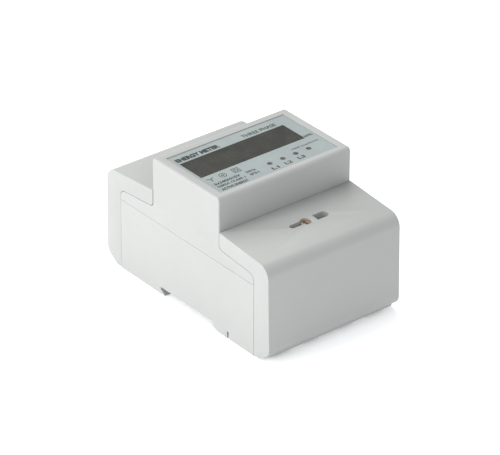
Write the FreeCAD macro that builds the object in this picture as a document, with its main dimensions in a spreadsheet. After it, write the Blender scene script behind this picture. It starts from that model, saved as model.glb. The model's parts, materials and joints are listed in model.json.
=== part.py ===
"""Three-phase electricity meter for a mounting rail, four modules wide, as a parametric FreeCAD document.

The meter lies on its back: +Z points out of its display, +X runs along its lettering, +Y points to the
supply end, and -Y points to the load end, where the rail latch is. The origin is the middle of its underside.
Lengths are in millimetres.
"""
import os

import FreeCAD
import Part
import Sketcher
from FreeCAD import Rotation, Vector

DIMENSIONS = [
    ("Casing", [
        ("body_width", 70.0, "four modules of 17.5"),
        ("body_length", 110.6, "over both terminal covers, before their lower edges are rounded"),
        ("body_height", 64.0, "underside to display side"),
        ("raised_length", 44.8, "display block, passes a 45 mm panel cut-out"),
        ("shoulder_height", 48.2, "cover top where it meets the display block"),
        ("shoulder_fall", 0.086, "drop of the cover top per millimetre outwards"),
        ("end_draft", 0.02, "lean of the covers' end faces per millimetre of height"),
        ("split_height", 33.7, "where lower and upper housing meet"),
        ("wall", 2.0, "housing walls"),
        ("floor_height", 5.5, "top of the housing floor above the underside"),
        ("housing_gap", 0.12, "seam between the two housings"),
        ("lip_wall", 1.1, "locating lip inside the seam"),
        ("lip_reach", 2.0, "how far the lip reaches below the seam"),
        ("lip_gap", 0.1, "between lip and housing wall"),
    ]),
    ("Terminal covers", [
        ("end_flange", 10.25, "cover flange beyond the housing's end"),
        ("cover_depth", 7.9, "cover flange below the shoulder"),
        ("cover_wall", 2.0, "cover walls"),
        ("cover_gap", 0.15, "seam between cover and housing"),
        ("bevel_height", 4.3, "start of the bevel under the end face"),
        ("bevel_length", 7.1, "length of that bevel"),
        ("cover_clearance", 0.45, "underside of the flange above the table"),
        ("shoulder_radius", 6.0, "cover top into end face"),
        ("lower_radius", 5.0, "end face into the bevel"),
        ("seam_outer_radius", 3.3, "housing's outer upper corner"),
        ("seam_inner_radius", 2.0, "housing's corner at the display block"),
        ("rear_top_radius", 2.0, "the display side's edge towards the supply end"),
        ("front_top_radius", 1.8, "the display side's edge towards the load end"),
        ("corner_radius", 0.6, "upright corners of the display block"),
    ]),
    ("Seal", [
        ("seal_offset", 13.2, "seal screw from the display block"),
        ("seal_hole", 4.8, "hole for the screw head"),
        ("seal_head", 4.4, "screw head"),
        ("seal_shank", 3.0, "screw shank"),
        ("seal_seat", 43.0, "height of the screw's seat"),
        ("seal_floor", 1.0, "floor under the seat"),
        ("seal_head_height", 3.2, "height of the screw head"),
        ("seal_reach", 6.0, "thread below the cover's seat block"),
        ("seal_slot_width", 2.5, "narrow wire slot"),
        ("seal_slot_end", 8.4, "narrow slot's far end from the screw"),
        ("seal_pocket_width", 3.9, "wide wire pocket"),
        ("seal_pocket_start", 5.0, "wide pocket's near end from the screw"),
        ("seal_pocket_end", 11.7, "wide pocket's far end from the screw"),
        ("seal_bridge", 1.9, "bridge between screw hole and pocket, from the cover top down"),
        ("seal_wire_hole", 1.3, "cross hole for the seal wire"),
        ("seal_wire_height", 1.3, "that hole above the screw's seat"),
        ("seal_drive_width", 0.9, "slot in the screw head"),
        ("seal_drive_depth", 0.8, "slot in the screw head"),
        ("fit_gap", 0.1, "clearance of a turning screw in its hole, on the radius"),
        ("thread_gap", 0.05, "clearance of a fixed screw in its hole, on the radius"),
    ]),
    ("Rail slot and latch", [
        ("slot_width", 35.35, "35 mm rail with its play"),
        ("slot_depth", 3.3, "rail seat above the underside"),
        ("hook_depth", 1.1, "room for the rail's flange, 1 mm thick"),
        ("hook_reach", 3.0, "fixed hook under the flange"),
        ("hook_tip", 0.3, "blunt tip of that hook"),
        ("foot_slope", 4.0, "run of the load foot's curved face"),
        ("slit_offset", 10.4, "moulding slit in each side wall, from the rail slot"),
        ("latch_width", 10.0, "latch between its guides"),
        ("latch_tongue", 1.2, "guide tongue each side of the latch"),
        ("latch_base", 0.3, "latch above the table"),
        ("latch_step", 1.7, "top of the latch's narrow part"),
        ("latch_top", 2.9, "top of the latch's tongues"),
        ("latch_nose", 1.6, "nose under the rail flange"),
        ("latch_body", 20.3, "length of the latch's wide part"),
        ("latch_tab", 9.9, "length of its pull tab"),
        ("latch_tab_width", 6.8, "width of its pull tab"),
        ("latch_blade_slot", 1.5, "slot in the tab for a screwdriver blade"),
        ("latch_travel", 3.0, "pull that frees the rail"),
        ("latch_gap", 0.2, "clearance round the latch"),
        ("spring_length", 8.5, "spring as fitted"),
        ("spring_diameter", 2.2, "outside"),
        ("spring_wire", 0.3, "wire"),
        ("spring_turns", 8.0, "turns"),
        ("spring_post", 1.5, "length of the housing's spring post"),
        ("spring_bay", 13.0, "length of the spring's bay in the latch"),
        ("spring_place", 5.0, "spring's bay from the latch's nose end"),
        ("spring_play", 0.05, "spring to each of its two seats"),
    ]),
    ("Terminals", [
        ("middle_pitch", 18.0, "between the two middle poles"),
        ("pole_pitch", 16.0, "between a middle and an outer pole"),
        ("chamber_depth", 5.05, "wiring chamber inside the housing's end"),
        ("end_wall", 2.0, "wall that the cables pass"),
        ("partition", 1.5, "wall between poles"),
        ("inner_wall", 2.0, "wall between terminals and electronics"),
        ("cage_width", 12.5, "clamp cage across the cable"),
        ("cage_length", 10.0, "clamp cage along the cable"),
        ("cage_wall", 1.5, "sides and floor of the cage"),
        ("cage_nut", 3.0, "threaded top of the cage"),
        ("cage_gap", 0.4, "cage to end wall"),
        ("wire_gap", 8.5, "open clamp, 25 square millimetre cable"),
        ("clamp_travel", 7.5, "rise of the cage"),
        ("screw_shank", 5.8, "clamp screw"),
        ("screw_head", 7.6, "clamp screw head"),
        ("screw_head_height", 3.5, "clamp screw head"),
        ("screw_lift", 0.6, "cage top to screw head, clamp shut"),
        ("access_hole", 6.6, "screwdriver hole"),
        ("access_collar", 9.2, "collar round that hole"),
        ("bar_width", 6.4, "copper bar"),
        ("bar_thickness", 2.5, "copper bar"),
        ("bar_height", 17.0, "underside of the copper bar"),
        ("bar_gap", 0.2, "copper bar to housing"),
        ("bar_end_gap", 0.8, "copper bar to end wall"),
        ("entry_width", 9.4, "cable hole in the end wall"),
        ("entry_height", 8.8, "cable hole in the end wall"),
    ]),
    ("Cable shelf", [
        ("shelf_thickness", 2.0, "floor of the wiring chamber"),
        ("shelf_gap", 0.2, "shelf to cover"),
        ("shelf_drop", 0.9, "shelf bevel below the cover bevel"),
        ("shelf_lip", 1.7, "rim along the shelf's end"),
        ("shelf_rim_height", 5.2, "top of that rim"),
        ("shelf_hole_width", 8.6, "cable way"),
        ("shelf_hole_start", 1.5, "cable way from the end wall"),
    ]),
    ("Case screws and pillars", [
        ("pillar", 4.4, "pillars inside the lower housing"),
        ("pillar_side_gap", 0.2, "pillar to side wall"),
        ("case_boss", 5.2, "upper housing's screw bosses"),
        ("case_boss_drop", 2.1, "boss end below the seam"),
        ("case_screw", 2.2, "case screw shank"),
        ("case_head", 4.2, "case screw head"),
        ("case_head_height", 1.5, "case screw head"),
        ("case_seat", 1.9, "head seat below the housing's shoulder"),
        ("case_reach", 14.0, "thread in the lower housing"),
        ("case_offset", 2.5, "case screw from the display block"),
        ("cross_arm", 0.3, "reach of a head's cross recess, as a share of the head"),
        ("cross_half", 0.07, "half of its width, as a share of the head"),
        ("cross_depth", 0.2, "its depth, as a share of the head"),
    ]),
    ("Pulse output", [
        ("pulse_width", 12.0, "terminal block"),
        ("pulse_height", 8.4, "terminal block"),
        ("pulse_pitch", 5.6, "between its two poles"),
        ("pulse_entry", 2.9, "square wire hole"),
        ("pulse_screw", 2.8, "screw"),
        ("pulse_access", 4.0, "screwdriver hole"),
        ("pulse_gap", 0.15, "block to housing"),
        ("pulse_tongue_height", 4.0, "tongue through the end wall"),
        ("pulse_screw_depth", 0.3, "screw's top below the block's"),
        ("pulse_screw_tip", 0.9, "screw's tip above the middle of the wire hole"),
    ]),
    ("Display side", [
        ("label_width", 62.5, "printed label"),
        ("label_length", 36.6, "printed label"),
        ("label_shift", -0.5, "label's middle from the block's, towards +Y"),
        ("label_thickness", 0.2, "printed label"),
        ("label_recess", 0.5, "depth of its recess"),
        ("window_left", 29.6, "window's left edge from the middle"),
        ("window_width", 55.1, "display window"),
        ("window_low", -3.8, "window's lower edge from the middle"),
        ("window_length", 14.7, "display window"),
        ("light_diameter", 2.2, "indicator light"),
        ("light_pitch", 6.93, "between indicator lights"),
        ("light_first", 0.2, "first indicator from the middle"),
        ("light_row", -11.7, "row of indicators from the middle"),
        ("part_gap", 0.1, "loose fit of inner pieces"),
        ("glass_margin", 1.5, "display glass beyond the window"),
        ("glass_ledge", 1.6, "glass beyond the backlight, for its contacts"),
        ("glass_thickness", 1.8, "display glass"),
        ("holder_wall", 1.1, "frame round the glass"),
        ("stack_height", 4.8, "display side of the upper board to the housing's top"),
    ]),
    ("Boards", [
        ("board_thickness", 1.6, "both circuit boards"),
        ("board_gap", 0.4, "board to housing"),
        ("lower_board_height", 31.0, "underside of the measuring board"),
        ("board_inset", 2.3, "board screws from the boards' long edges"),
        ("upper_inset", 2.6, "display board's screws from its short edges"),
        ("board_screw", 2.2, "screws of both boards"),
        ("board_screw_head", 3.8, "their heads"),
        ("board_screw_head_height", 1.4, "their heads"),
        ("board_screw_reach", 4.0, "their thread"),
        ("sensor_diameter", 15.6, "current transformer"),
        ("sensor_bore", 8.6, "current transformer"),
        ("sensor_length", 10.0, "current transformer"),
        ("sense_pin", 1.0, "voltage pins from the bars"),
        ("sense_place", 12.0, "those pins from the middle"),
    ]),
    ("Components on the boards", [
        ("lead_width", 0.5, "a chip's lead"),
        ("lead_reach", 0.8, "a chip's lead beyond its body"),
        ("meter_chip_left", -6.0, "metering chip's left edge"),
        ("meter_chip_low", -15.0, "metering chip's lower edge"),
        ("meter_chip_width", 6.0, "metering chip"),
        ("meter_chip_length", 10.0, "metering chip"),
        ("meter_chip_height", 1.8, "metering chip"),
        ("coupler_left", 13.0, "optocoupler's left edge"),
        ("coupler_low", 12.0, "optocoupler's lower edge"),
        ("coupler_width", 6.0, "optocoupler"),
        ("coupler_length", 5.0, "optocoupler"),
        ("coupler_height", 3.4, "optocoupler"),
        ("processor_left", -12.0, "microcontroller's left edge"),
        ("processor_low", -6.0, "microcontroller's lower edge"),
        ("processor_width", 8.0, "microcontroller"),
        ("processor_length", 10.0, "microcontroller"),
        ("processor_height", 1.6, "microcontroller"),
        ("drum_across", -22.0, "middle of the smoothing capacitor and the varistors"),
        ("drum_along", -8.0, "middle of the smoothing capacitor"),
        ("drum_diameter", 10.0, "smoothing capacitor"),
        ("drum_height", 17.0, "smoothing capacitor"),
        ("film_left", -12.0, "first film capacitor's left edge"),
        ("film_low", -3.0, "film capacitors' lower edge"),
        ("film_pitch", 10.0, "between film capacitors"),
        ("film_width", 6.0, "film capacitor"),
        ("film_length", 13.0, "film capacitor"),
        ("film_height", 12.0, "film capacitor"),
        ("varistor_low", 4.0, "first varistor's face"),
        ("varistor_pitch", 5.0, "between varistors"),
        ("varistor_diameter", 9.0, "varistor"),
        ("varistor_thickness", 3.6, "varistor"),
        ("varistor_height", 5.5, "varistor's middle above its board"),
        ("connector_inset", 2.0, "board connector from the board's edge"),
        ("connector_width", 5.0, "board connector"),
        ("connector_length", 16.0, "board connector"),
        ("socket_height", 8.5, "its socket on the measuring board"),
        ("header_height", 4.0, "its header under the display board"),
        ("pin_width", 0.6, "its pins"),
        ("pin_pitch", 2.5, "between its pins"),
        ("pin_overlap", 0.5, "how far its pins reach into each half"),
    ]),
]
CONNECTOR_PINS = 6


class Size:
    """A length with the formula that ties it to the sheet, so that sums of sizes stay tied too."""

    def __init__(self, value, formula):
        self.value = value
        self.formula = formula

    def __add__(self, other):
        other = as_size(other)
        return Size(self.value + other.value, f"({self.formula} + {other.formula})")

    def __sub__(self, other):
        other = as_size(other)
        return Size(self.value - other.value, f"({self.formula} - {other.formula})")

    def __mul__(self, other):
        other = as_size(other)
        return Size(self.value * other.value, f"({self.formula} * {other.formula})")

    def __truediv__(self, other):
        other = as_size(other)
        return Size(self.value / other.value, f"({self.formula} / {other.formula})")

    def __radd__(self, other):
        return as_size(other) + self

    def __rsub__(self, other):
        return as_size(other) - self

    def __rmul__(self, other):
        return as_size(other) * self

    def __neg__(self):
        return self * -1


def as_size(number):
    """A plain number as a Size, and a Size as it is."""
    return number if isinstance(number, Size) else Size(float(number), f"({float(number):g})")


doc = FreeCAD.newDocument("ElectricityMeter")


def write_sheet():
    """Put the driving dimensions in a spreadsheet, and give each back as a Size."""
    sheet = doc.addObject("Spreadsheet::Sheet", "Dimensions")
    sizes = {}
    row = 1
    for group, entries in DIMENSIONS:
        sheet.set(f"A{row}", group)
        row += 1
        for alias, value, meaning in entries:
            sheet.set(f"A{row}", meaning)
            sheet.set(f"B{row}", str(value))
            sheet.setAlias(f"B{row}", alias)
            sizes[alias] = Size(value, f"Dimensions.{alias}")
            row += 1
    doc.recompute()
    return sizes


class Record:
    """Gives the sheet's sizes as attributes: d.wall, d.body_width and so on."""

    def __init__(self, sizes):
        self.__dict__.update(sizes)


d = Record(write_sheet())


# ---- Ways to make shapes -------------------------------------------------------------------------

PLANES = {"plan": "XY_Plane", "side": "YZ_Plane", "end": "XZ_Plane"}
TINY = 1e-4


def bind(item, prop, size):
    """Tie one property of a document object to the sheet."""
    item.setExpression(prop, as_size(size).formula)


class Circle:
    """A round outline in a sketch."""

    def __init__(self, across, up, diameter):
        self.across = as_size(across)
        self.up = as_size(up)
        self.radius = as_size(diameter) / 2


def rectangle(left, right, low, high):
    """The four corners of an upright rectangle."""
    return [(left, low), (right, low), (right, high), (left, high)]


def tie_point(sketch, geometry, point, across, up):
    """Fix a sketch point's place by two dimensions that follow the sheet."""
    for kind, size in (("DistanceX", across), ("DistanceY", up)):
        index = sketch.addConstraint(Sketcher.Constraint(kind, -1, 1, geometry, point, size.value))
        sketch.setExpression(f"Constraints[{index}]", size.formula)


def draw_polygon(sketch, corners):
    """Add a closed run of straight lines, with every corner tied to the sheet."""
    corners = [(as_size(across), as_size(up)) for across, up in corners]
    places = [Vector(across.value, up.value, 0) for across, up in corners]
    first = sketch.GeometryCount
    count = len(corners)
    for i in range(count):
        sketch.addGeometry(Part.LineSegment(places[i], places[(i + 1) % count]), False)
    for i in range(count):
        follower = first + (i + 1) % count
        sketch.addConstraint(Sketcher.Constraint("Coincident", first + i, 2, follower, 1))
        tie_point(sketch, first + i, 1, *corners[i])


def draw_circle(sketch, circle):
    """Add a circle whose centre and radius follow the sheet."""
    centre = Vector(circle.across.value, circle.up.value, 0)
    index = sketch.addGeometry(Part.Circle(centre, Vector(0, 0, 1), circle.radius.value), False)
    tie_point(sketch, index, 3, circle.across, circle.up)
    limit = sketch.addConstraint(Sketcher.Constraint("Radius", index, circle.radius.value))
    sketch.setExpression(f"Constraints[{limit}]", circle.radius.formula)


class Moulding:
    """A PartDesign body, built feature by feature.

    A feature runs from low to high along X from the side plane, Z from the plan and Y from the end plane.
    Sketch coordinates are (Y, Z) on the side plane, (X, Y) on the plan and (X, Z) on the end plane.
    """

    def __init__(self, label):
        self.body = doc.addObject("PartDesign::Body", label)
        self.body.Label = label
        self.label = label

    def sketch(self, name, plane, level, outlines):
        """A sketch parallel to one of the body's own planes, at a level along that plane's normal."""
        sketch = self.body.newObject("Sketcher::SketchObject", f"{self.label}_{name}_sketch")
        role = PLANES[plane]
        support = [item for item in self.body.Origin.OriginFeatures if item.Role == role][0]
        sketch.AttachmentSupport = [(support, "")]
        sketch.MapMode = "FlatFace"
        bind(sketch, "AttachmentOffset.Base.z", level)
        for outline in outlines:
            if isinstance(outline, Circle):
                draw_circle(sketch, outline)
            else:
                draw_polygon(sketch, outline)
        return sketch

    def feature(self, kind, name, plane, low, high, outlines):
        """Add a pad or a pocket, and make sure that it changed the solid."""
        before = self.volume()
        from_high = (kind == "PartDesign::Pocket") != (plane == "end")
        level = as_size(high if from_high else low)
        if plane == "end":
            level = -level
        sketch = self.sketch(name, plane, level, outlines)
        item = self.body.newObject(kind, f"{self.label}_{name}")
        item.Profile = sketch
        bind(item, "Length", as_size(high) - low)
        doc.recompute()
        change = self.volume() - before
        wanted = 1 if kind == "PartDesign::Pad" else -1
        if change * wanted < TINY:
            raise ValueError(f"{item.Name} left the solid as it was: {item.getStatusString()}")
        return item

    def pad(self, name, plane, low, high, *outlines):
        return self.feature("PartDesign::Pad", name, plane, low, high, outlines)

    def pocket(self, name, plane, low, high, *outlines):
        return self.feature("PartDesign::Pocket", name, plane, low, high, outlines)

    def volume(self):
        return self.body.Shape.Volume if self.body.Tip else 0.0

    def edges(self, wanted):
        """Names of the straight edges that a test picks by their two end points."""
        names = []
        for number, edge in enumerate(self.body.Tip.Shape.Edges, 1):
            if len(edge.Vertexes) != 2:
                continue
            start, end = (vertex.Point for vertex in edge.Vertexes)
            if edge.Curve.TypeId == "Part::GeomLine" and wanted(start, end):
                names.append(f"Edge{number}")
        return names

    def round_edges(self, name, radius, wanted):
        """Round the chosen edges."""
        names = self.edges(wanted)
        if not names:
            raise ValueError(f"{self.label}: no edge to round for {name}")
        base = self.body.Tip
        item = self.body.newObject("PartDesign::Fillet", f"{self.label}_{name}")
        item.Base = (base, names)
        bind(item, "Radius", radius)
        doc.recompute()
        return item


def near(value, size):
    return abs(value - as_size(size).value) < 1e-3


def along_x(*places):
    """Picks edges that run along X at any of the given (Y, Z) places."""
    def wanted(start, end):
        level = near(start.y, end.y) and near(start.z, end.z)
        return level and any(near(start.y, y) and near(start.z, z) for y, z in places)
    return wanted


def upright(*places):
    """Picks edges that run along Z at any of the given (X, Y) places."""
    def wanted(start, end):
        straight = near(start.x, end.x) and near(start.y, end.y)
        return straight and any(near(start.x, x) and near(start.y, y) for x, y in places)
    return wanted


def box(name, x, y, z):
    """A block between pairs of limits along X, Y and Z."""
    item = doc.addObject("Part::Box", name)
    for prop, place, (low, high) in (("Length", "x", x), ("Width", "y", y), ("Height", "z", z)):
        bind(item, prop, as_size(high) - low)
        bind(item, f"Placement.Base.{place}", low)
    return item


AXES = {"x": Vector(1, 0, 0), "y": Vector(0, 1, 0), "z": Vector(0, 0, 1)}


def rod(name, axis, diameter, low, high, across, up):
    """A cylinder along an axis; across and up are its place on the two other axes, in X, Y, Z order."""
    item = doc.addObject("Part::Cylinder", name)
    item.Placement = FreeCAD.Placement(Vector(), Rotation(Vector(0, 0, 1), AXES[axis]))
    others = [letter for letter in "xyz" if letter != axis]
    bind(item, "Radius", as_size(diameter) / 2)
    bind(item, "Height", as_size(high) - low)
    for letter, size in zip((axis, *others), (low, across, up)):
        bind(item, f"Placement.Base.{letter}", size)
    return item


def join(label, pieces):
    """Several shapes as one."""
    item = doc.addObject("Part::MultiFuse", label)
    item.Shapes = pieces
    item.Label = label
    return item


def cut(label, base, tools):
    """A shape with others taken away."""
    item = doc.addObject("Part::Cut", label)
    item.Base = base
    item.Tool = tools[0] if len(tools) == 1 else join(f"{label}_tools", tools)
    item.Label = label
    return item


def gather(label, pieces):
    """Separate solids of one kind, kept together as one node."""
    item = doc.addObject("Part::Compound", label)
    item.Links = pieces
    item.Label = label
    return item


nodes = []


def keep(*items):
    """Name finished pieces as nodes of the meter."""
    for item in items:
        nodes.append(item.body if isinstance(item, Moulding) else item)


# ---- Places that several pieces share ------------------------------------------------------------

half_width = d.body_width / 2
half_length = d.body_length / 2
inside = half_width - d.wall
housing_end = half_length - d.end_flange
block_side = d.raised_length / 2
chamber_start = housing_end - d.chamber_depth
bay_end = chamber_start - d.end_wall
inner_wall_start = block_side + d.part_gap
inner_wall_end = inner_wall_start + d.inner_wall
cage_end = bay_end - d.cage_gap
screw_place = cage_end - d.cage_length / 2
seal_place = block_side + d.seal_offset
bar_top = d.bar_height + d.bar_thickness
bar_end = bay_end - d.bar_end_gap
upper_start = d.split_height + d.housing_gap
top_inside = d.body_height - d.wall
pillar_place = inside - d.pillar_side_gap - d.pillar / 2
case_place = block_side + d.case_offset
ENDS = {"front": -1, "rear": 1}
pole_places = {
    "l1": -(d.middle_pitch / 2 + d.pole_pitch),
    "l2": -(d.middle_pitch / 2),
    "l3": d.middle_pitch / 2,
    "n": d.middle_pitch / 2 + d.pole_pitch,
}


def shoulder(outwards):
    """Height of a cover's top at a distance from the middle."""
    return d.shoulder_height - d.shoulder_fall * (outwards - block_side)


def seam(outwards):
    """Height of the housing's shoulder under the cover."""
    return shoulder(outwards) - d.cover_depth


def end_face_meets(drop, inset):
    """Where a line parallel to the cover's top meets one parallel to its end face, both set inwards."""
    reach = half_length - inset
    level = d.shoulder_height - drop - d.shoulder_fall * (reach - block_side)
    height = (level - d.shoulder_fall * d.end_draft * d.bevel_height) / (1 - d.shoulder_fall * d.end_draft)
    return reach - d.end_draft * (height - d.bevel_height), height


partition_place = d.middle_pitch / 2 + d.pole_pitch / 2
slot_side = d.slot_width / 2
bevel_slope = (d.bevel_height - d.cover_clearance) / d.bevel_length
shelf_end = half_length - d.cover_wall - d.shelf_gap
shelf_corner = d.bevel_height - bevel_slope * (half_length - shelf_end) - d.shelf_drop
shelf_hole_end = shelf_end - d.shelf_lip
entry_low = d.bar_height - d.wire_gap
bay_spans = [
    (-inside, -(partition_place + d.partition / 2)),
    (-(partition_place - d.partition / 2), -d.partition),
    (d.partition, partition_place - d.partition / 2),
    (partition_place + d.partition / 2, inside),
]
case_boss_end = upper_start - d.case_boss_drop
case_screw_end = case_boss_end - d.case_reach
lip_inner = inside - d.lip_gap - d.lip_wall - d.part_gap
board_side = inside - d.lip_gap - d.lip_wall - d.board_gap
board_long_side = inner_wall_start - d.board_gap
board_screw_row = board_long_side - d.board_inset
latch_start = -(slot_side + d.latch_gap)
latch_body_end = latch_start - d.latch_body
latch_tab_end = latch_body_end - d.latch_tab
spring_near = latch_start - d.spring_place
spring_far = spring_near - d.spring_length
post_near = spring_far - d.spring_play
pulse_top = d.split_height - d.pulse_gap
pulse_bottom = pulse_top - d.pulse_height
pulse_start = chamber_start + d.pulse_gap
pulse_end = housing_end - d.pulse_gap
pulse_middle = (pulse_start + pulse_end) / 2
label_low = d.label_shift - d.label_length / 2
label_high = d.label_shift + d.label_length / 2
window_left = -d.window_left
window_right = window_left + d.window_width
window_low = d.window_low
window_high = window_low + d.window_length
light_places = [d.light_first + i * d.light_pitch for i in range(4)]
label_floor = d.body_height - d.label_recess
label_top = label_floor + d.label_thickness
upper_board_top = top_inside - d.stack_height
upper_board_low = upper_board_top - d.board_thickness
upper_board_side = block_side - d.wall - d.board_gap
glass_low = top_inside - d.part_gap - d.glass_thickness
seal_head_start = d.seal_seat + d.thread_gap
seal_block_bottom = d.seal_seat - d.seal_floor
seal_boss_top = seal_block_bottom - d.part_gap
seal_boss_start = upper_start + d.wall / 2
seal_tip = seal_block_bottom - d.seal_reach
case_seat = seam(case_place) - d.case_seat
lower_board_top = d.lower_board_height + d.board_thickness
lower_holes = (partition_place, board_screw_row)
upper_holes = (board_side - d.upper_inset, upper_board_side - d.board_inset)


# ---- Housings ------------------------------------------------------------------------------------

def lengthwise(span, end, low, high):
    """A plan rectangle over a span of X, from low to high outwards, at the front or the rear."""
    near_edge, far_edge = (low, high) if end > 0 else (-high, -low)
    return rectangle(span[0], span[1], near_edge, far_edge)


def at_four_corners(across, outwards, diameter):
    """Four circles, mirrored about both middles."""
    return [Circle(x * across, y * outwards, diameter) for x in (-1, 1) for y in (-1, 1)]


def lower_housing():
    """The tray that takes the terminals and the measuring part, with the rail slot under it."""
    part = Moulding("lower_housing")
    foot = slot_side + d.foot_slope
    knee = (-(slot_side + d.foot_slope / 4), d.slot_depth / 3)
    part.pad("block", "side", -half_width, half_width, [
        (-housing_end, 0), (-foot, 0), knee, (-slot_side, d.slot_depth),
        (slot_side, d.slot_depth), (slot_side, d.slot_depth - d.hook_depth),
        (slot_side - d.hook_reach, d.hook_tip), (slot_side - d.hook_reach + d.hook_tip, 0),
        (housing_end, 0), (housing_end, d.split_height), (-housing_end, d.split_height)])
    part.round_edges("foot_curve", d.slot_depth / 2, along_x((-foot, 0), knee))
    part.pocket("electronics", "plan", d.floor_height, d.split_height,
                rectangle(-inside, inside, -inner_wall_start, inner_wall_start))
    part.pocket("terminal_bays", "plan", d.floor_height, d.split_height,
                *[lengthwise(span, end, inner_wall_end, bay_end)
                  for end in ENDS.values() for span in bay_spans])
    part.pocket("chambers", "plan", d.shelf_thickness, d.split_height,
                *[lengthwise(span, end, chamber_start, half_length)
                  for end in ENDS.values() for span in bay_spans])
    for name, end in ENDS.items():
        cable_shelf(part, name, end)
        entries = [rectangle(place - d.entry_width / 2, place + d.entry_width / 2,
                             entry_low, entry_low + d.entry_height) for place in pole_places.values()]
        low, high = (bay_end, chamber_start) if end > 0 else (-chamber_start, -bay_end)
        part.pocket(f"{name}_entries", "end", low, high, *entries)
    bar_side = d.bar_width / 2 + d.bar_gap
    part.pocket("bar_slots", "plan", d.bar_height - d.bar_gap, d.split_height,
                *[lengthwise((place - bar_side, place + bar_side), end, inner_wall_start, inner_wall_end)
                  for end in ENDS.values() for place in pole_places.values()])
    part.pocket("lip_ways", "plan", d.split_height - d.lip_reach - d.part_gap, d.split_height,
                *[lengthwise(span, end, inner_wall_start, inner_wall_end) for end in ENDS.values()
                  for span in ((-inside, -lip_inner), (lip_inner, inside))])
    part.pocket("boss_seats", "plan", case_boss_end - d.part_gap, d.split_height,
                *at_four_corners(pillar_place, case_place, d.case_boss + 4 * d.part_gap))
    part.pad("case_pillars", "plan", d.floor_height, case_boss_end - d.part_gap,
             *at_four_corners(pillar_place, case_place, d.pillar))
    part.pocket("case_holes", "plan", case_screw_end - d.part_gap, case_boss_end - d.part_gap,
                *at_four_corners(pillar_place, case_place, d.case_screw + 2 * d.thread_gap))
    part.pad("board_pillars", "plan", d.floor_height, d.lower_board_height,
             *at_four_corners(partition_place, board_screw_row, d.pillar))
    part.pocket("board_holes", "plan", d.lower_board_height - d.board_screw_reach - d.part_gap,
                d.lower_board_height,
                *at_four_corners(partition_place, board_screw_row, d.board_screw + 2 * d.thread_gap))
    latch_guide(part)
    foot_hollows(part)
    nest = d.pulse_width / 2 + d.pulse_gap
    part.pocket("pulse_nest", "plan", pulse_bottom - d.pulse_gap, d.split_height,
                lengthwise((-nest, nest), 1, chamber_start, half_length))
    part.pocket("pulse_window", "end", bay_end, chamber_start,
                rectangle(-(nest - d.partition), nest - d.partition,
                          pulse_bottom, pulse_bottom + d.pulse_tongue_height + 2 * d.pulse_gap))
    return part


def cable_shelf(part, name, end):
    """The floor of the wiring chamber under a cover, with a way through for each cable."""
    rim_start = shelf_end - d.shelf_lip
    outline = [
        (housing_end - d.wall, 0), (shelf_end - shelf_corner / bevel_slope, 0), (shelf_end, shelf_corner),
        (shelf_end, d.shelf_rim_height), (rim_start, d.shelf_rim_height),
        (rim_start, shelf_corner - bevel_slope * d.shelf_lip + d.shelf_thickness),
        (shelf_end - shelf_corner / bevel_slope, d.shelf_thickness),
        (housing_end - d.wall, d.shelf_thickness)]
    part.pad(f"{name}_shelf", "side", -(inside - d.shelf_gap), inside - d.shelf_gap,
             [(end * outwards, height) for outwards, height in outline])
    half_hole = d.shelf_hole_width / 2
    part.pocket(f"{name}_cable_ways", "plan", 0, d.shelf_rim_height,
                *[lengthwise((place - half_hole, place + half_hole), end,
                             chamber_start + d.shelf_hole_start, shelf_hole_end)
                  for place in pole_places.values()])


def latch_guide(part):
    """The undercut channel for the rail latch, and the post that its spring pushes against."""
    narrow = d.latch_width / 2 + d.latch_gap
    wide = narrow + d.latch_tongue
    tab = d.latch_tab_width / 2 + d.latch_gap
    stop = latch_body_end - d.latch_travel - d.latch_gap
    opening = -(slot_side - d.hook_reach)
    part.pocket("latch_mouth", "plan", 0, d.latch_step, rectangle(-narrow, narrow, stop, opening))
    part.pocket("latch_track", "plan", d.latch_step - d.latch_gap, d.latch_top + d.latch_gap,
                rectangle(-wide, wide, stop, opening))
    part.pocket("tab_slot", "plan", 0, d.shelf_thickness,
                rectangle(-tab, tab, latch_tab_end - d.latch_travel - d.latch_gap, stop))
    half_post = d.spring_diameter / 2
    part.pad("spring_post", "plan", d.latch_top - d.spring_diameter, d.slot_depth,
             rectangle(-half_post, half_post, post_near - d.spring_post, post_near))


def foot_hollows(part):
    """Hollows under the two feet, and the moulding slits in the side walls."""
    guide = d.latch_width / 2 + d.latch_tongue + d.latch_gap + d.wall
    end = chamber_start - d.wall / 4
    front = slot_side + d.foot_slope + d.wall
    rear = slot_side + d.wall
    part.pocket("foot_hollows", "plan", 0, d.floor_height - d.wall,
                lengthwise((-inside, -guide), -1, front, end), lengthwise((guide, inside), -1, front, end),
                lengthwise((-inside, -d.wall / 2), 1, rear, end),
                lengthwise((d.wall / 2, inside), 1, rear, end))
    slit = slot_side + d.slit_offset
    for name, low, high in (("left", -half_width, -inside), ("right", inside, half_width)):
        part.pocket(f"{name}_slit", "side", low, high,
                    rectangle(-(slit + d.wall / 4), -(slit - d.wall / 4), 0, d.slot_depth))


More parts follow.
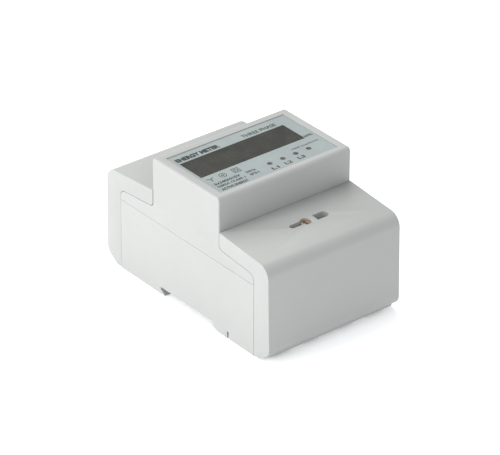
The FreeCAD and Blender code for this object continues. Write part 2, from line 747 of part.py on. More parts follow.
def upper_housing():
    """The lid with the stepped outline: a shoulder over each row of terminals, and the display block."""
    part = Moulding("upper_housing")
    corner = (housing_end, seam(housing_end))
    foot = (block_side, seam(block_side))
    rim = (block_side, d.body_height)
    part.pad("block", "side", -half_width, half_width, [
        (-housing_end, upper_start), (-corner[0], corner[1]), (-foot[0], foot[1]), (-rim[0], rim[1]),
        rim, foot, corner, (housing_end, upper_start)])
    part.round_edges("front_rim", d.front_top_radius, along_x((-rim[0], rim[1])))
    part.round_edges("rear_rim", d.rear_top_radius, along_x(rim))
    part.round_edges("block_outline", d.corner_radius, upright(
        *[(x * half_width, y * block_side) for x in (-1, 1) for y in (-1, 1)]))
    part.round_edges("inner_corners", d.seam_inner_radius, along_x((-foot[0], foot[1]), foot))
    part.round_edges("outer_corners", d.seam_outer_radius, along_x((-corner[0], corner[1]), corner))
    cavity_end = housing_end - d.wall
    cavity_side = block_side - d.wall
    cavity = [(cavity_end, upper_start), (cavity_end, seam(cavity_end) - d.wall),
              (cavity_side, seam(cavity_side) - d.wall), (cavity_side, top_inside)]
    part.pocket("cavity", "side", -inside, inside,
                [(-y, z) for y, z in cavity] + [(y, z) for y, z in reversed(cavity)])
    lip_side = inside - d.lip_gap
    lip_low, lip_top = d.split_height - d.lip_reach, upper_start + d.lip_reach
    lip = [(lip_side - d.lip_wall, lip_low), (lip_side, lip_low), (lip_side, upper_start),
           (inside + d.wall / 2, upper_start), (inside + d.wall / 2, lip_top),
           (lip_side - d.lip_wall, lip_top)]
    part.pad("lips", "end", -(bay_end - d.lip_wall), bay_end - d.lip_wall, lip, [(-x, z) for x, z in lip])
    display_openings(part)
    part.pad("hanging_walls", "plan", upper_start, seam(chamber_start) - d.wall / 2,
             *[lengthwise((-inside - d.wall / 2, inside + d.wall / 2), end, bay_end, chamber_start)
               for end in ENDS.values()])
    screw_ways(part)
    return part


def display_openings(part):
    """The label's recess, the display window, the holes for the lights and the upper board's bosses."""
    part.pocket("label_recess", "plan", d.body_height - d.label_recess, d.body_height,
                rectangle(-d.label_width / 2, d.label_width / 2, label_low, label_high))
    part.pocket("window", "plan", top_inside, d.body_height - d.label_recess,
                rectangle(window_left, window_right, window_low, window_high))
    part.pocket("light_holes", "plan", top_inside, d.body_height - d.label_recess,
                *[Circle(place, d.light_row, d.light_diameter + 2 * d.part_gap) for place in light_places])
    part.pad("board_bosses", "plan", upper_board_top, d.body_height - d.wall / 2,
             *at_four_corners(*upper_holes, d.pillar))
    part.pocket("board_boss_holes", "plan", upper_board_top, upper_board_top + d.board_screw_reach,
                *at_four_corners(*upper_holes, d.board_screw + 2 * d.thread_gap))


def screw_ways(part):
    """Collars over the clamp screws, and the bosses of the case screws and seal screws."""
    collar_start = upper_start + d.part_gap + d.wall / 2
    collars, holes = [], []
    for end in ENDS.values():
        for place in pole_places.values():
            collars.append(Circle(place, end * screw_place, d.access_collar))
            holes.append(Circle(place, end * screw_place, d.access_hole))
    deck = seam(screw_place)
    part.pad("collars", "plan", collar_start, deck - d.wall / 2, *collars)
    part.pocket("access_holes", "plan", collar_start, deck + d.wall, *holes)
    part.pad("case_bosses", "plan", case_boss_end, seam(case_place) - d.wall / 2,
             *at_four_corners(pillar_place, case_place, d.case_boss))
    part.pocket("case_holes", "plan", case_boss_end, seam(case_place),
                *at_four_corners(pillar_place, case_place, d.case_screw + 2 * d.fit_gap))
    part.pocket("case_seats", "plan", case_seat, seam(case_place) + d.wall,
                *at_four_corners(pillar_place, case_place, d.case_head + 4 * d.fit_gap))
    seal_circles = [Circle(0, end * seal_place, d.seal_shank + 2 * d.wall) for end in ENDS.values()]
    part.pad("seal_bosses", "plan", seal_boss_start, seal_boss_top, *seal_circles)
    part.pocket("seal_holes", "plan", seal_tip - d.part_gap, seal_boss_top,
                *[Circle(0, end * seal_place, d.seal_shank + 2 * d.fit_gap) for end in ENDS.values()])
    part.pocket("pulse_access", "plan", upper_start, seam(chamber_start),
                *[Circle(side * d.pulse_pitch / 2, pulse_middle, d.pulse_access) for side in (-1, 1)])


def terminal_cover(name, end):
    """The L-shaped cap over one row of terminals; the rear one is the same piece, turned half round."""
    part = Moulding(f"{name}_terminal_cover")
    near_side = block_side + d.cover_gap
    flange = housing_end + d.cover_gap
    outer, outer_height = end_face_meets(0, 0)
    under = d.cover_gap
    seam_corner = (flange, seam(flange) + under)
    seam_foot = (near_side, seam(near_side) + under)
    outline = [
        (near_side, shoulder(near_side)), (outer, outer_height), (half_length, d.bevel_height),
        (half_length - d.bevel_length, d.cover_clearance), (flange, d.cover_clearance),
        seam_corner, seam_foot]
    part.pad("block", "side", -half_width, half_width, [(end * y, z) for y, z in outline])
    part.round_edges("shoulder", d.shoulder_radius, along_x((end * outer, outer_height)))
    part.round_edges("lower_edge", d.lower_radius, along_x((end * half_length, d.bevel_height)))
    part.round_edges("seam_corner", d.seam_outer_radius, along_x((end * seam_corner[0], seam_corner[1])))
    part.round_edges("seam_foot", d.seam_inner_radius, along_x((end * seam_foot[0], seam_foot[1])))
    inner, inner_height = end_face_meets(d.cover_wall, d.cover_wall)
    open_side = near_side - d.wall
    hollow = [
        (open_side, shoulder(open_side) - d.cover_wall), (inner, inner_height),
        (half_length - d.cover_wall, d.bevel_height), (half_length - d.cover_wall, 0), (open_side, 0)]
    cover_inside = half_width - d.cover_wall
    part.pocket("hollow", "side", -cover_inside, cover_inside, [(end * y, z) for y, z in hollow])
    part.round_edges("hollow_shoulder", d.shoulder_radius - d.cover_wall,
                     along_x((end * inner, inner_height)))
    seal_seat(part, end)
    return part


def seal_seat(part, end):
    """The block under the cover's top that seats the seal screw, with the wire's slot and pocket."""
    def turned(left, right):
        return (left, right) if end < 0 else (-right, -left)

    top = shoulder(seal_place)
    above = top + d.cover_wall
    margin = d.cover_wall
    half_block = d.seal_hole / 2 + margin / 2
    block = turned(-(d.seal_slot_end + margin / 2), d.seal_pocket_end + margin / 2)
    part.pad("seat_block", "plan", seal_block_bottom, top - d.cover_wall / 2,
             lengthwise(block, end, seal_place - half_block, seal_place + half_block))
    part.pocket("head_hole", "plan", d.seal_seat, above, Circle(0, end * seal_place, d.seal_hole))
    part.pocket("shank_hole", "plan", seal_block_bottom, d.seal_seat,
                Circle(0, end * seal_place, d.seal_shank + 2 * d.fit_gap))
    slot_half = d.seal_slot_width / 2
    slot_floor = d.seal_seat + d.seal_floor / 2
    round_end = d.seal_slot_end - slot_half
    part.pocket("wire_slot", "plan", slot_floor, above,
                lengthwise(turned(-round_end, 0), end, seal_place - slot_half, seal_place + slot_half))
    part.pocket("wire_slot_end", "plan", slot_floor, above,
                Circle(end * round_end, end * seal_place, d.seal_slot_width))
    pocket_half = d.seal_pocket_width / 2
    pocket_round = d.seal_pocket_end - pocket_half
    part.pocket("wire_pocket", "plan", slot_floor, above,
                lengthwise(turned(d.seal_pocket_start, pocket_round), end,
                           seal_place - pocket_half, seal_place + pocket_half))
    part.pocket("wire_pocket_end", "plan", slot_floor, above,
                Circle(-end * pocket_round, end * seal_place, d.seal_pocket_width))
    low, high = turned(0, d.seal_pocket_start)
    near_edge, far_edge = sorted((end * (seal_place - slot_half), end * (seal_place + slot_half)),
                                 key=lambda size: size.value)
    part.pocket("wire_way", "side", low, high,
                rectangle(near_edge, far_edge, slot_floor, top - d.seal_bridge))


def seal_screw(name, end):
    """Brass screw with a slot, and a cross hole through its head for the seal wire."""
    place = end * seal_place
    head_top = d.seal_seat + d.seal_head_height
    head = rod(f"{name}_seal_head", "z", d.seal_head, seal_head_start, head_top, 0, place)
    shank = rod(f"{name}_seal_shank", "z", d.seal_shank, seal_tip, head_top, 0, place)
    half_slot = d.seal_drive_width / 2
    drive = box(f"{name}_seal_drive", (-half_slot, half_slot), (place - d.seal_head, place + d.seal_head),
                (head_top - d.seal_drive_depth, head_top + d.wall))
    wire = rod(f"{name}_seal_wire", "x", d.seal_wire_hole, -d.seal_head, d.seal_head,
               place, d.seal_seat + d.seal_wire_height)
    return cut(f"{name}_seal_screw", join(f"{name}_seal_blank", [head, shank]), [drive, wire])


def case_screws():
    """Four screws that hold the two housings together, under the covers."""
    pieces = []
    for x in (-1, 1):
        for y in (-1, 1):
            tag = f"case_{len(pieces) + 1}"
            across, place = x * pillar_place, y * case_place
            top = case_seat + d.case_head_height
            shank = rod(f"{tag}_shank", "z", d.case_screw, case_screw_end, case_seat, across, place)
            head = rod(f"{tag}_head", "z", d.case_head, case_seat, top, across, place)
            cross = drive_cross(tag, across, place, top, d.case_head)
            pieces.append(cut(f"{tag}_screw", join(f"{tag}_blank", [shank, head]), [cross]))
    return gather("case_screws", pieces)


def drive_cross(tag, across, place, top, head):
    """The cross recess of a screw head."""
    arm = head * d.cross_arm
    half = head * d.cross_half
    depth = (top - head * d.cross_depth, top + head)
    along = box(f"{tag}_cross_a", (across - arm, across + arm), (place - half, place + half), depth)
    over = box(f"{tag}_cross_b", (across - half, across + half), (place - arm, place + arm), depth)
    return join(f"{tag}_cross", [along, over])


# ---- Rail latch ----------------------------------------------------------------------------------

def rail_latch():
    """Slide that hooks under the rail's flange; a tab at the end takes a screwdriver blade."""
    half = d.latch_width / 2
    wide = half + d.latch_tongue
    tab = d.latch_tab_width / 2
    bay = d.spring_diameter / 2 + d.part_gap * 3
    narrow = box("latch_narrow", (-half, half), (latch_body_end, latch_start), (d.latch_base, d.latch_step))
    tongues = box("latch_tongues", (-wide, wide), (latch_body_end, latch_start), (d.latch_step, d.latch_top))
    nose = nose_wedge(half, d.slot_depth - d.hook_depth - d.part_gap)
    pull = box("latch_pull", (-tab, tab), (latch_tab_end, latch_body_end), (d.latch_base, d.latch_step))
    blank = join("latch_blank", [narrow, tongues, nose, pull])
    bay_near = spring_near + d.spring_play
    spring_bay = box("latch_bay", (-bay, bay), (bay_near - d.spring_bay, bay_near),
                     (d.latch_base * 2, d.latch_top))
    blade_start = latch_tab_end + d.wall
    blade = box("latch_blade_hole", (-tab / 2, tab / 2), (blade_start, blade_start + d.latch_blade_slot),
                (0, d.latch_top))
    return cut("rail_latch", blank, [spring_bay, blade])


def nose_wedge(half, top):
    """The latch's nose, sloped below so that the meter snaps onto the rail."""
    tip = latch_start + d.latch_gap + d.latch_nose
    wedge = Moulding("latch_nose")
    wedge.pad("wedge", "side", -half, half,
              [(latch_start, d.latch_base), (tip - d.latch_nose / 2, d.latch_base),
               (tip, top - d.latch_nose / 4), (tip, top), (latch_start, top)])
    return wedge.body


def latch_spring():
    """Round-wire compression spring between the latch's bay and the housing's post."""
    wire_radius = d.spring_wire / 2
    coil = doc.addObject("Part::Helix", "spring_path")
    bind(coil, "Radius", (d.spring_diameter - d.spring_wire) / 2)
    bind(coil, "Pitch", (d.spring_length - d.spring_wire) / d.spring_turns)
    bind(coil, "Height", d.spring_length - d.spring_wire)
    ring = doc.addObject("Part::Circle", "spring_section")
    bind(ring, "Radius", wire_radius)
    ring.Placement = FreeCAD.Placement(Vector(), Rotation(Vector(1, 0, 0), 90))
    bind(ring, "Placement.Base.x", (d.spring_diameter - d.spring_wire) / 2)
    sweep = doc.addObject("Part::Sweep", "latch_spring")
    sweep.Sections = [ring]
    sweep.Spine = (coil, [])
    sweep.Solid = True
    sweep.Frenet = True
    sweep.Label = "latch_spring"
    sweep.Placement = FreeCAD.Placement(Vector(), Rotation(Vector(1, 0, 0), -90))
    bind(sweep, "Placement.Base.y", spring_far + wire_radius)
    bind(sweep, "Placement.Base.z", d.latch_top - d.spring_diameter / 2)
    return sweep


# ---- Terminals -----------------------------------------------------------------------------------

def terminal_cage(tag, across, place):
    """Clamp cage: the screw draws it up, and it presses the cable against the copper bar."""
    half = d.cage_width / 2
    low = d.bar_height - d.wire_gap - d.cage_wall
    nut = bar_top + d.screw_lift
    x, y = (across - half, across + half), (place - d.cage_length / 2, place + d.cage_length / 2)
    hollow = (x[0] + d.cage_wall, x[1] - d.cage_wall)
    shell = Moulding(f"{tag}_cage_shell")
    shell.pad("shell", "end", *y, rectangle(*x, low, nut + d.cage_nut))
    shell.round_edges("corners", d.cage_wall / 2, lambda start, end: near(start.x, end.x)
                      and near(start.z, end.z))
    shell.pocket("wire_way", "end", *y, rectangle(*hollow, low + d.cage_wall, nut))
    shell.pocket("thread", "plan", nut, nut + d.cage_nut,
                 Circle(across, place, d.screw_shank + 2 * d.fit_gap))
    shell.body.Label = f"terminal_cage_{tag}"
    return shell


def terminal_screw(tag, across, place):
    """Clamp screw: it turns in place, with its tip on the copper bar."""
    head_low = bar_top + d.screw_lift + d.cage_nut + d.clamp_travel + d.screw_lift
    head_top = head_low + d.screw_head_height
    shank = rod(f"{tag}_screw_shank", "z", d.screw_shank, bar_top + d.part_gap, head_top, across, place)
    head = rod(f"{tag}_screw_head", "z", d.screw_head, head_low, head_top, across, place)
    cross = drive_cross(f"{tag}_screw", across, place, head_top, d.screw_head)
    return cut(f"terminal_screw_{tag}", join(f"{tag}_screw_blank", [shank, head]), [cross])


def copper_bar(pole, across):
    """One phase's conductor, from load terminal to supply terminal."""
    half = d.bar_width / 2
    bar = Moulding(f"copper_bar_{pole}")
    bar.pad("bar", "plan", d.bar_height, bar_top, rectangle(across - half, across + half, -bar_end, bar_end))
    bar.round_edges("corners", d.bar_thickness / 2,
                    upright(*[(across + x * half, y * bar_end) for x in (-1, 1) for y in (-1, 1)]))
    return bar


def current_transformer(pole, across):
    """Ring core that the phase's bar runs through."""
    middle = d.bar_height + d.bar_thickness / 2
    ring = Moulding(f"current_transformer_{pole}")
    ring.pad("ring", "end", -d.sensor_length / 2, d.sensor_length / 2,
             Circle(across, middle, d.sensor_diameter), Circle(across, middle, d.sensor_bore))
    return ring


def sense_pins():
    """Four pins that bring each bar's voltage up to the measuring board."""
    return gather("voltage_pins", [
        rod(f"voltage_pin_{pole}", "z", d.sense_pin, bar_top, d.lower_board_height, across, d.sense_place)
        for pole, across in pole_places.items()])


def pulse_terminals():
    """Two-pole block for the pulse output, and its two screws."""
    half = d.pulse_width / 2
    tongue = half - d.partition
    blank = join("pulse_blank", [
        box("pulse_body", (-half, half), (pulse_start, pulse_end), (pulse_bottom, pulse_top)),
        box("pulse_tongue", (-tongue, tongue), (bay_end, pulse_start),
            (pulse_bottom + d.pulse_gap, pulse_bottom + d.pulse_gap + d.pulse_tongue_height))])
    entry = d.pulse_entry / 2
    entry_middle = pulse_bottom + d.pulse_entry
    tools, screws = [], []
    for name, side in (("left", -1), ("right", 1)):
        across = side * d.pulse_pitch / 2
        tools.append(box(f"pulse_entry_{name}", (across - entry, across + entry),
                         (pulse_start + d.wall / 2, housing_end),
                         (entry_middle - entry, entry_middle + entry)))
        tools.append(rod(f"pulse_well_{name}", "z", d.pulse_screw + 2 * d.fit_gap, entry_middle,
                         d.split_height, across, pulse_middle))
        top = pulse_top - d.pulse_screw_depth
        shank = rod(f"pulse_shank_{name}", "z", d.pulse_screw, entry_middle + d.pulse_screw_tip, top,
                    across, pulse_middle)
        drive = box(f"pulse_drive_{name}", (across - d.pulse_screw, across + d.pulse_screw),
                    (pulse_middle - d.pulse_screw / 8, pulse_middle + d.pulse_screw / 8),
                    (top - d.pulse_screw / 3, top + d.wall))
        screws.append(cut(f"pulse_screw_{name}", shank, [drive]))
    return [cut("pulse_terminal_block", blank, tools), *screws]


# ---- Display side --------------------------------------------------------------------------------

def label_plate():
    """Printed label, cut out for the window and the lights."""
    half = d.label_width / 2 - d.part_gap
    plate = Moulding("label_plate")
    plate.pad("sheet", "plan", label_floor, label_top,
              rectangle(-half, half, label_low + d.part_gap, label_high - d.part_gap),
              rectangle(window_left, window_right, window_low, window_high),
              *[Circle(place, d.light_row, d.light_diameter + 2 * d.part_gap) for place in light_places])
    return plate


def display_window():
    """Clear window, level with the label."""
    gap = d.part_gap
    return box("display_window", (window_left + gap, window_right - gap),
               (window_low + gap, window_high - gap), (top_inside, label_top))


def display_stack():
    """Glass, its contact strips, the backlight and the frame that holds them on the upper board."""
    margin = d.glass_margin
    x = (window_left - margin, window_right + margin)
    y = (window_low - margin, window_high + margin)
    glass_plate = box("display_glass", x, y, (glass_low, glass_low + d.glass_thickness))
    ledge = d.glass_ledge
    strips = [box(f"contact_strip_{name}", x, limits, (upper_board_top, glass_low))
              for name, limits in (("low", (y[0], y[0] + ledge)), ("high", (y[1] - ledge, y[1])))]
    gap = d.part_gap
    backlight = box("backlight_panel", x, (y[0] + ledge + gap, y[1] - ledge - gap),
                    (upper_board_top, glass_low - gap))
    rim = gap + d.holder_wall
    outer = box("holder_outer", (x[0] - rim, x[1] + rim), (y[0] - rim, y[1] + rim),
                (upper_board_top, top_inside - gap))
    inner = box("holder_inner", (x[0] - gap, x[1] + gap), (y[0] - gap, y[1] + gap),
                (upper_board_top - gap, top_inside))
    return [glass_plate, gather("contact_strips", strips), backlight, cut("display_holder", outer, [inner])]


def indicator_light(tag, across):
    """A light with a domed lens, standing on the upper board."""
    light = Moulding(tag)
    light.pad("lens", "plan", upper_board_top, label_top, Circle(across, d.light_row, d.light_diameter))
    return light


def board(label, height, half_x, half_y, holes):
    """A circuit board with its screw holes."""
    plate = Moulding(label)
    diameter = d.board_screw + 2 * d.fit_gap
    plate.pad("plate", "plan", height, height + d.board_thickness,
              rectangle(-half_x, half_x, -half_y, half_y), *at_four_corners(*holes, diameter))
    return plate


def board_screws(label, holes, seat, up):
    """Four screws that hold a board; up is 1 when their heads are above it."""
    pieces = []
    for x in (-1, 1):
        for y in (-1, 1):
            tag = f"{label}_{len(pieces) + 1}"
            across, place = x * holes[0], y * holes[1]
            tip = seat - up * (d.board_thickness + d.board_screw_reach)
            top = seat + up * d.board_screw_head_height
            shank_ends, head_ends = ((tip, seat), (seat, top)) if up > 0 else ((seat, tip), (top, seat))
            shank = rod(f"{tag}_shank", "z", d.board_screw, *shank_ends, across, place)
            head = rod(f"{tag}_head", "z", d.board_screw_head, *head_ends, across, place)
            pieces.append(join(tag, [shank, head]))
    return gather(label, pieces)


def chip(label, left, low, width, length, z, leads):
    """A chip with a row of leads along each long side; leads is their number a side."""
    pieces = [box(f"{label}_body", (left, left + width), (low, low + length), z)]
    x = (left - d.lead_reach, left + width + d.lead_reach)
    foot = (z[0], (z[0] + z[1]) / 2)
    half = d.lead_width / 2
    for i in range(leads):
        middle = low + length * ((i + 0.5) / leads)
        pieces.append(box(f"{label}_lead_{i}", x, (middle - half, middle + half), foot))
    return join(label, pieces)


def microcontroller():
    """Main chip, under the display board."""
    return chip("microcontroller", d.processor_left, d.processor_low, d.processor_width, d.processor_length,
                (upper_board_low - d.processor_height, upper_board_low), leads=10)


def measuring_parts():
    """The main components on the measuring board."""
    base = lower_board_top
    metering = chip("metering_chip", d.meter_chip_left, d.meter_chip_low, d.meter_chip_width,
                    d.meter_chip_length, (base, base + d.meter_chip_height), leads=8)
    coupler = chip("optocoupler", d.coupler_left, d.coupler_low, d.coupler_width, d.coupler_length,
                   (base, base + d.coupler_height), leads=2)
    drum = Moulding("smoothing_capacitor")
    drum.pad("drum", "plan", base, base + d.drum_height, Circle(d.drum_across, d.drum_along, d.drum_diameter))
    films, varistors = [], []
    for i in range(3):
        left = d.film_left + i * d.film_pitch
        films.append(box(f"film_capacitor_{i}", (left, left + d.film_width),
                         (d.film_low, d.film_low + d.film_length), (base, base + d.film_height)))
        low = d.varistor_low + i * d.varistor_pitch
        varistors.append(rod(f"varistor_{i}", "y", d.varistor_diameter, low, low + d.varistor_thickness,
                             d.drum_across, base + d.varistor_height))
    return [metering, coupler, drum, gather("film_capacitors", films), gather("varistors", varistors)]


def board_connector():
    """Pin header and socket between the two boards."""
    right = board_side - d.connector_inset
    x = (right - d.connector_width, right)
    y = (-d.connector_length / 2, d.connector_length / 2)
    socket_top = lower_board_top + d.socket_height
    header_low = upper_board_low - d.header_height
    pieces = [box("connector_socket", x, y, (lower_board_top, socket_top)),
              box("connector_header", x, y, (header_low, upper_board_low))]
    middle = right - d.connector_width / 2
    half = d.pin_width / 2
    for i in range(CONNECTOR_PINS):
        place = (i - (CONNECTOR_PINS - 1) / 2) * d.pin_pitch
        pieces.append(box(f"connector_pin_{i}", (middle - half, middle + half), (place - half, place + half),
                          (socket_top - d.pin_overlap, header_low + d.pin_overlap)))
    return join("board_connector", pieces)


# ---- The meter -----------------------------------------------------------------------------------

keep(lower_housing())
keep(upper_housing())
for end_name, end_side in ENDS.items():
    keep(terminal_cover(end_name, end_side))
    keep(seal_screw(end_name, end_side))
keep(case_screws())
keep(rail_latch())
keep(latch_spring())
for pole_name, pole_place in pole_places.items():
    keep(copper_bar(pole_name, pole_place))
    if pole_name != "n":
        keep(current_transformer(pole_name, pole_place))
    for end_name, end_side in ENDS.items():
        pole_tag = f"{end_name}_{pole_name}"
        keep(terminal_cage(pole_tag, pole_place, end_side * screw_place))
        keep(terminal_screw(pole_tag, pole_place, end_side * screw_place))
keep(sense_pins())
keep(*pulse_terminals())
keep(label_plate())
keep(display_window())
keep(*display_stack())
for number, light_place in enumerate(light_places, 1):
    keep(indicator_light(f"phase_light_{number}" if number < 4 else "pulse_light", light_place))
keep(board("measuring_board", d.lower_board_height, board_side, board_long_side, lower_holes))
keep(board_screws("measuring_board_screws", lower_holes, lower_board_top, 1))
keep(board("display_board", upper_board_low, board_side, upper_board_side, upper_holes))
keep(board_screws("display_board_screws", upper_holes, upper_board_low, -1))
keep(microcontroller())
keep(*measuring_parts())
keep(board_connector())


def check(item):
    """Stop if an object failed to build."""
    faults = [state for state in item.State if state in ("Invalid", "Error")]
    if faults:
        raise ValueError(f"{item.Name}: {faults}")


doc.recompute()
for piece in doc.Objects:
    check(piece)
for node in nodes:
    if node.Shape.isNull() or not node.Shape.isValid() or not node.Shape.Solids:
        raise ValueError(f"{node.Label} has no valid solid")
os.makedirs("parts", exist_ok=True)
for node in nodes:
    node.Shape.exportStep(f"parts/{node.Label}.step")
    size = node.Shape.BoundBox
    print(f"{node.Label:28s} {len(node.Shape.Solids)} solid(s) {node.Shape.Volume:10.1f} mm3 "
          f"x {size.XMin:.2f} {size.XMax:.2f} y {size.YMin:.2f} {size.YMax:.2f} "
          f"z {size.ZMin:.2f} {size.ZMax:.2f}")
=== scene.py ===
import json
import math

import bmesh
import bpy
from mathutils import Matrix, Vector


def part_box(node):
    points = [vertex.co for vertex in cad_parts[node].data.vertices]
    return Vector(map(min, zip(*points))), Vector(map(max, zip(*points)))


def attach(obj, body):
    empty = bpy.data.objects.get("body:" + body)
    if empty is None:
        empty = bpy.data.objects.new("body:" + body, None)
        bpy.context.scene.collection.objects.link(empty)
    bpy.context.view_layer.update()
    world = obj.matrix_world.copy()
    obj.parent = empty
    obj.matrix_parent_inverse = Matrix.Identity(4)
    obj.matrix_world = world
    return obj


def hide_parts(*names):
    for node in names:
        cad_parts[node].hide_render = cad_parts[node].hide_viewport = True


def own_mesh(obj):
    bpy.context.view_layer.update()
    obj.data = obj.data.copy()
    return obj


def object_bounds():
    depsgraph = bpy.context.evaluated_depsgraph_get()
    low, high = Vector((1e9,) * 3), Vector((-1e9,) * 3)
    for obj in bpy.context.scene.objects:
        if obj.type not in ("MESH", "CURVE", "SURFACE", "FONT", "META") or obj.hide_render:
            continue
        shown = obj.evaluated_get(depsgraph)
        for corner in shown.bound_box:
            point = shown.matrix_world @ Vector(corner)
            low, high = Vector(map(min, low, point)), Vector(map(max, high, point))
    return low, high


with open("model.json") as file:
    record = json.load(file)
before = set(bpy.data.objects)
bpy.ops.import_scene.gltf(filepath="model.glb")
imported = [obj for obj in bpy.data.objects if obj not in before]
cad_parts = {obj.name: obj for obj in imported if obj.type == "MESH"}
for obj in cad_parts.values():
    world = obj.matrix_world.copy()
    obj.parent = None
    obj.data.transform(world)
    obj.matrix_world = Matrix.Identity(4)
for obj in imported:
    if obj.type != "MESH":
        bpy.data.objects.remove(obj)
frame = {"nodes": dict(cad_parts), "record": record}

# %% [markdown]
# # A three-phase electricity meter, lying on its back
# The real meter is a light grey plastic box, four modules wide, that clips to a mounting rail. A raised
# block carries the printed label, a display and four small lights. Two caps cover the cable terminals, and
# each is held by one brass screw that can be sealed with a wire. The engineering model already has every
# piece at its real size, so this script only adds soft edges, finishes, print, dormant digits and light.

MM = 0.001
nodes = frame["nodes"]
body_of_node = {node: body for body, members in frame["record"]["behaviour"]["bodies"].items()
                for node in members}
cad_low, cad_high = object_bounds()
print("model from", [round(v, 4) for v in cad_low], "to", [round(v, 4) for v in cad_high])

# %% [markdown]
# ## Node groups for effects that several materials share
# Moulded plastic is never one flat colour. Its surface comes from an eroded tool, so it has a fine grain,
# the tone drifts a little over a few centimetres, and corners are rubbed smoother and lighter than faces.
# The same nodes could be copied into every material. A node group with named sockets is kept in one place
# instead, and each material asks for the effect in its own strength.

# %% Small helpers for building node trees
def new_group(name, inputs, outputs):
    """A shader node group with float inputs {name: default} and outputs {name: socket type}."""
    group = bpy.data.node_groups.new(name, "ShaderNodeTree")
    for label, default in inputs.items():
        socket = group.interface.new_socket(label, in_out="INPUT", socket_type="NodeSocketFloat")
        socket.default_value = default
    for label, kind in outputs.items():
        group.interface.new_socket(label, in_out="OUTPUT", socket_type=kind)
    return group, group.nodes.new("NodeGroupInput"), group.nodes.new("NodeGroupOutput")


def node(tree, kind, links=None, **settings):
    """A node with its settings, and its inputs linked from sockets or set to plain values."""
    item = tree.nodes.new(kind)
    for name, value in settings.items():
        setattr(item, name, value)
    for name, value in (links or {}).items():
        if isinstance(value, bpy.types.NodeSocket):
            tree.links.new(value, item.inputs[name])
        else:
            item.inputs[name].default_value = value
    return item


print("node helpers ready")

# %% Short names for the nodes that come up again and again
def object_place(tree):
    """The place on the piece, which stays with it when it moves."""
    return node(tree, "ShaderNodeTexCoord").outputs["Object"]


def noise(tree, place, scale, detail, **more):
    """The grey value of a Noise Texture; more inputs go by their own names."""
    return node(tree, "ShaderNodeTexNoise", {"Vector": place, "Scale": scale, "Detail": detail,
                                             **more}).outputs["Fac"]


def calculate(tree, operation, first, second, **settings):
    """A Math node on two values or sockets."""
    return node(tree, "ShaderNodeMath", {0: first, 1: second}, operation=operation, **settings).outputs[0]


def ramp(tree, factor, low, high):
    """A Color Ramp from black at low to white at high."""
    item = node(tree, "ShaderNodeValToRGB", {"Fac": factor})
    item.color_ramp.elements[0].position = low
    item.color_ramp.elements[1].position = high
    return item.outputs["Color"]


def texture_scale(tree, size_mm):
    """The texture scale that makes one feature about this size."""
    return calculate(tree, "DIVIDE", 1 / MM, size_mm)


print("short names ready")

# %% The moulded grain: a height for bump, and two slow masks for tone and gloss
def build_grain():
    group, come, go = new_group("moulded_grain", {"Grain size mm": 0.35, "Tone size mm": 25.0},
                                {"Height": "NodeSocketFloat", "Tone": "NodeSocketFloat",
                                 "Gloss": "NodeSocketFloat"})
    place = object_place(group)
    grain_scale = texture_scale(group, come.outputs["Grain size mm"])
    tone_scale = texture_scale(group, come.outputs["Tone size mm"])
    pits = noise(group, place, grain_scale, 3.0, Roughness=0.6)
    drift = noise(group, place, tone_scale, 4.0, Roughness=0.55)
    shine = noise(group, place, tone_scale, 7.0, Roughness=0.7, Distortion=0.4)
    group.links.new(pits, go.inputs["Height"])
    group.links.new(ramp(group, drift, 0.3, 0.7), go.inputs["Tone"])
    group.links.new(ramp(group, shine, 0.35, 0.65), go.inputs["Gloss"])
    return group


moulded_grain = build_grain()
print("group", moulded_grain.name)

# %% Edge wear: where the surface turns within a fraction of a millimetre, broken up by noise
def build_edge_wear():
    group, come, go = new_group("edge_wear", {"Width mm": 0.4, "Amount": 0.6},
                                {"Wear": "NodeSocketFloat"})
    place = object_place(group)
    radius = calculate(group, "MULTIPLY", come.outputs["Width mm"], MM)
    rounded = node(group, "ShaderNodeBevel", {"Radius": radius}, samples=4).outputs["Normal"]
    flat = node(group, "ShaderNodeNewGeometry").outputs["Normal"]
    agree = node(group, "ShaderNodeVectorMath", {0: rounded, 1: flat},
                 operation="DOT_PRODUCT").outputs["Value"]
    turned = node(group, "ShaderNodeMapRange", {"Value": agree, "From Min": 1.0, "From Max": 0.75})
    spots = noise(group, place, 260.0, 6.0, Roughness=0.7)
    broken = calculate(group, "MULTIPLY", turned.outputs["Result"], ramp(group, spots, 0.4, 0.6))
    worn = calculate(group, "MULTIPLY", broken, come.outputs["Amount"], use_clamp=True)
    group.links.new(worn, go.inputs["Wear"])
    return group


edge_wear = build_edge_wear()
print("group", edge_wear.name)

# %% Dust: a thin veil that settles on faces that look up
def build_dust():
    group, come, go = new_group("settled_dust", {"Amount": 0.1}, {"Dust": "NodeSocketFloat"})
    place = object_place(group)
    normal = node(group, "ShaderNodeNewGeometry").outputs["Normal"]
    up = node(group, "ShaderNodeSeparateXYZ", {0: normal}).outputs["Z"]
    level = node(group, "ShaderNodeMapRange", {"Value": up, "From Min": 0.6, "From Max": 1.0})
    clouds = noise(group, place, 70.0, 8.0, Roughness=0.65)
    laid = calculate(group, "MULTIPLY", level.outputs["Result"], ramp(group, clouds, 0.42, 0.75))
    thin = calculate(group, "MULTIPLY", laid, come.outputs["Amount"], use_clamp=True)
    group.links.new(thin, go.inputs["Dust"])
    return group


settled_dust = build_dust()
print("group", settled_dust.name)

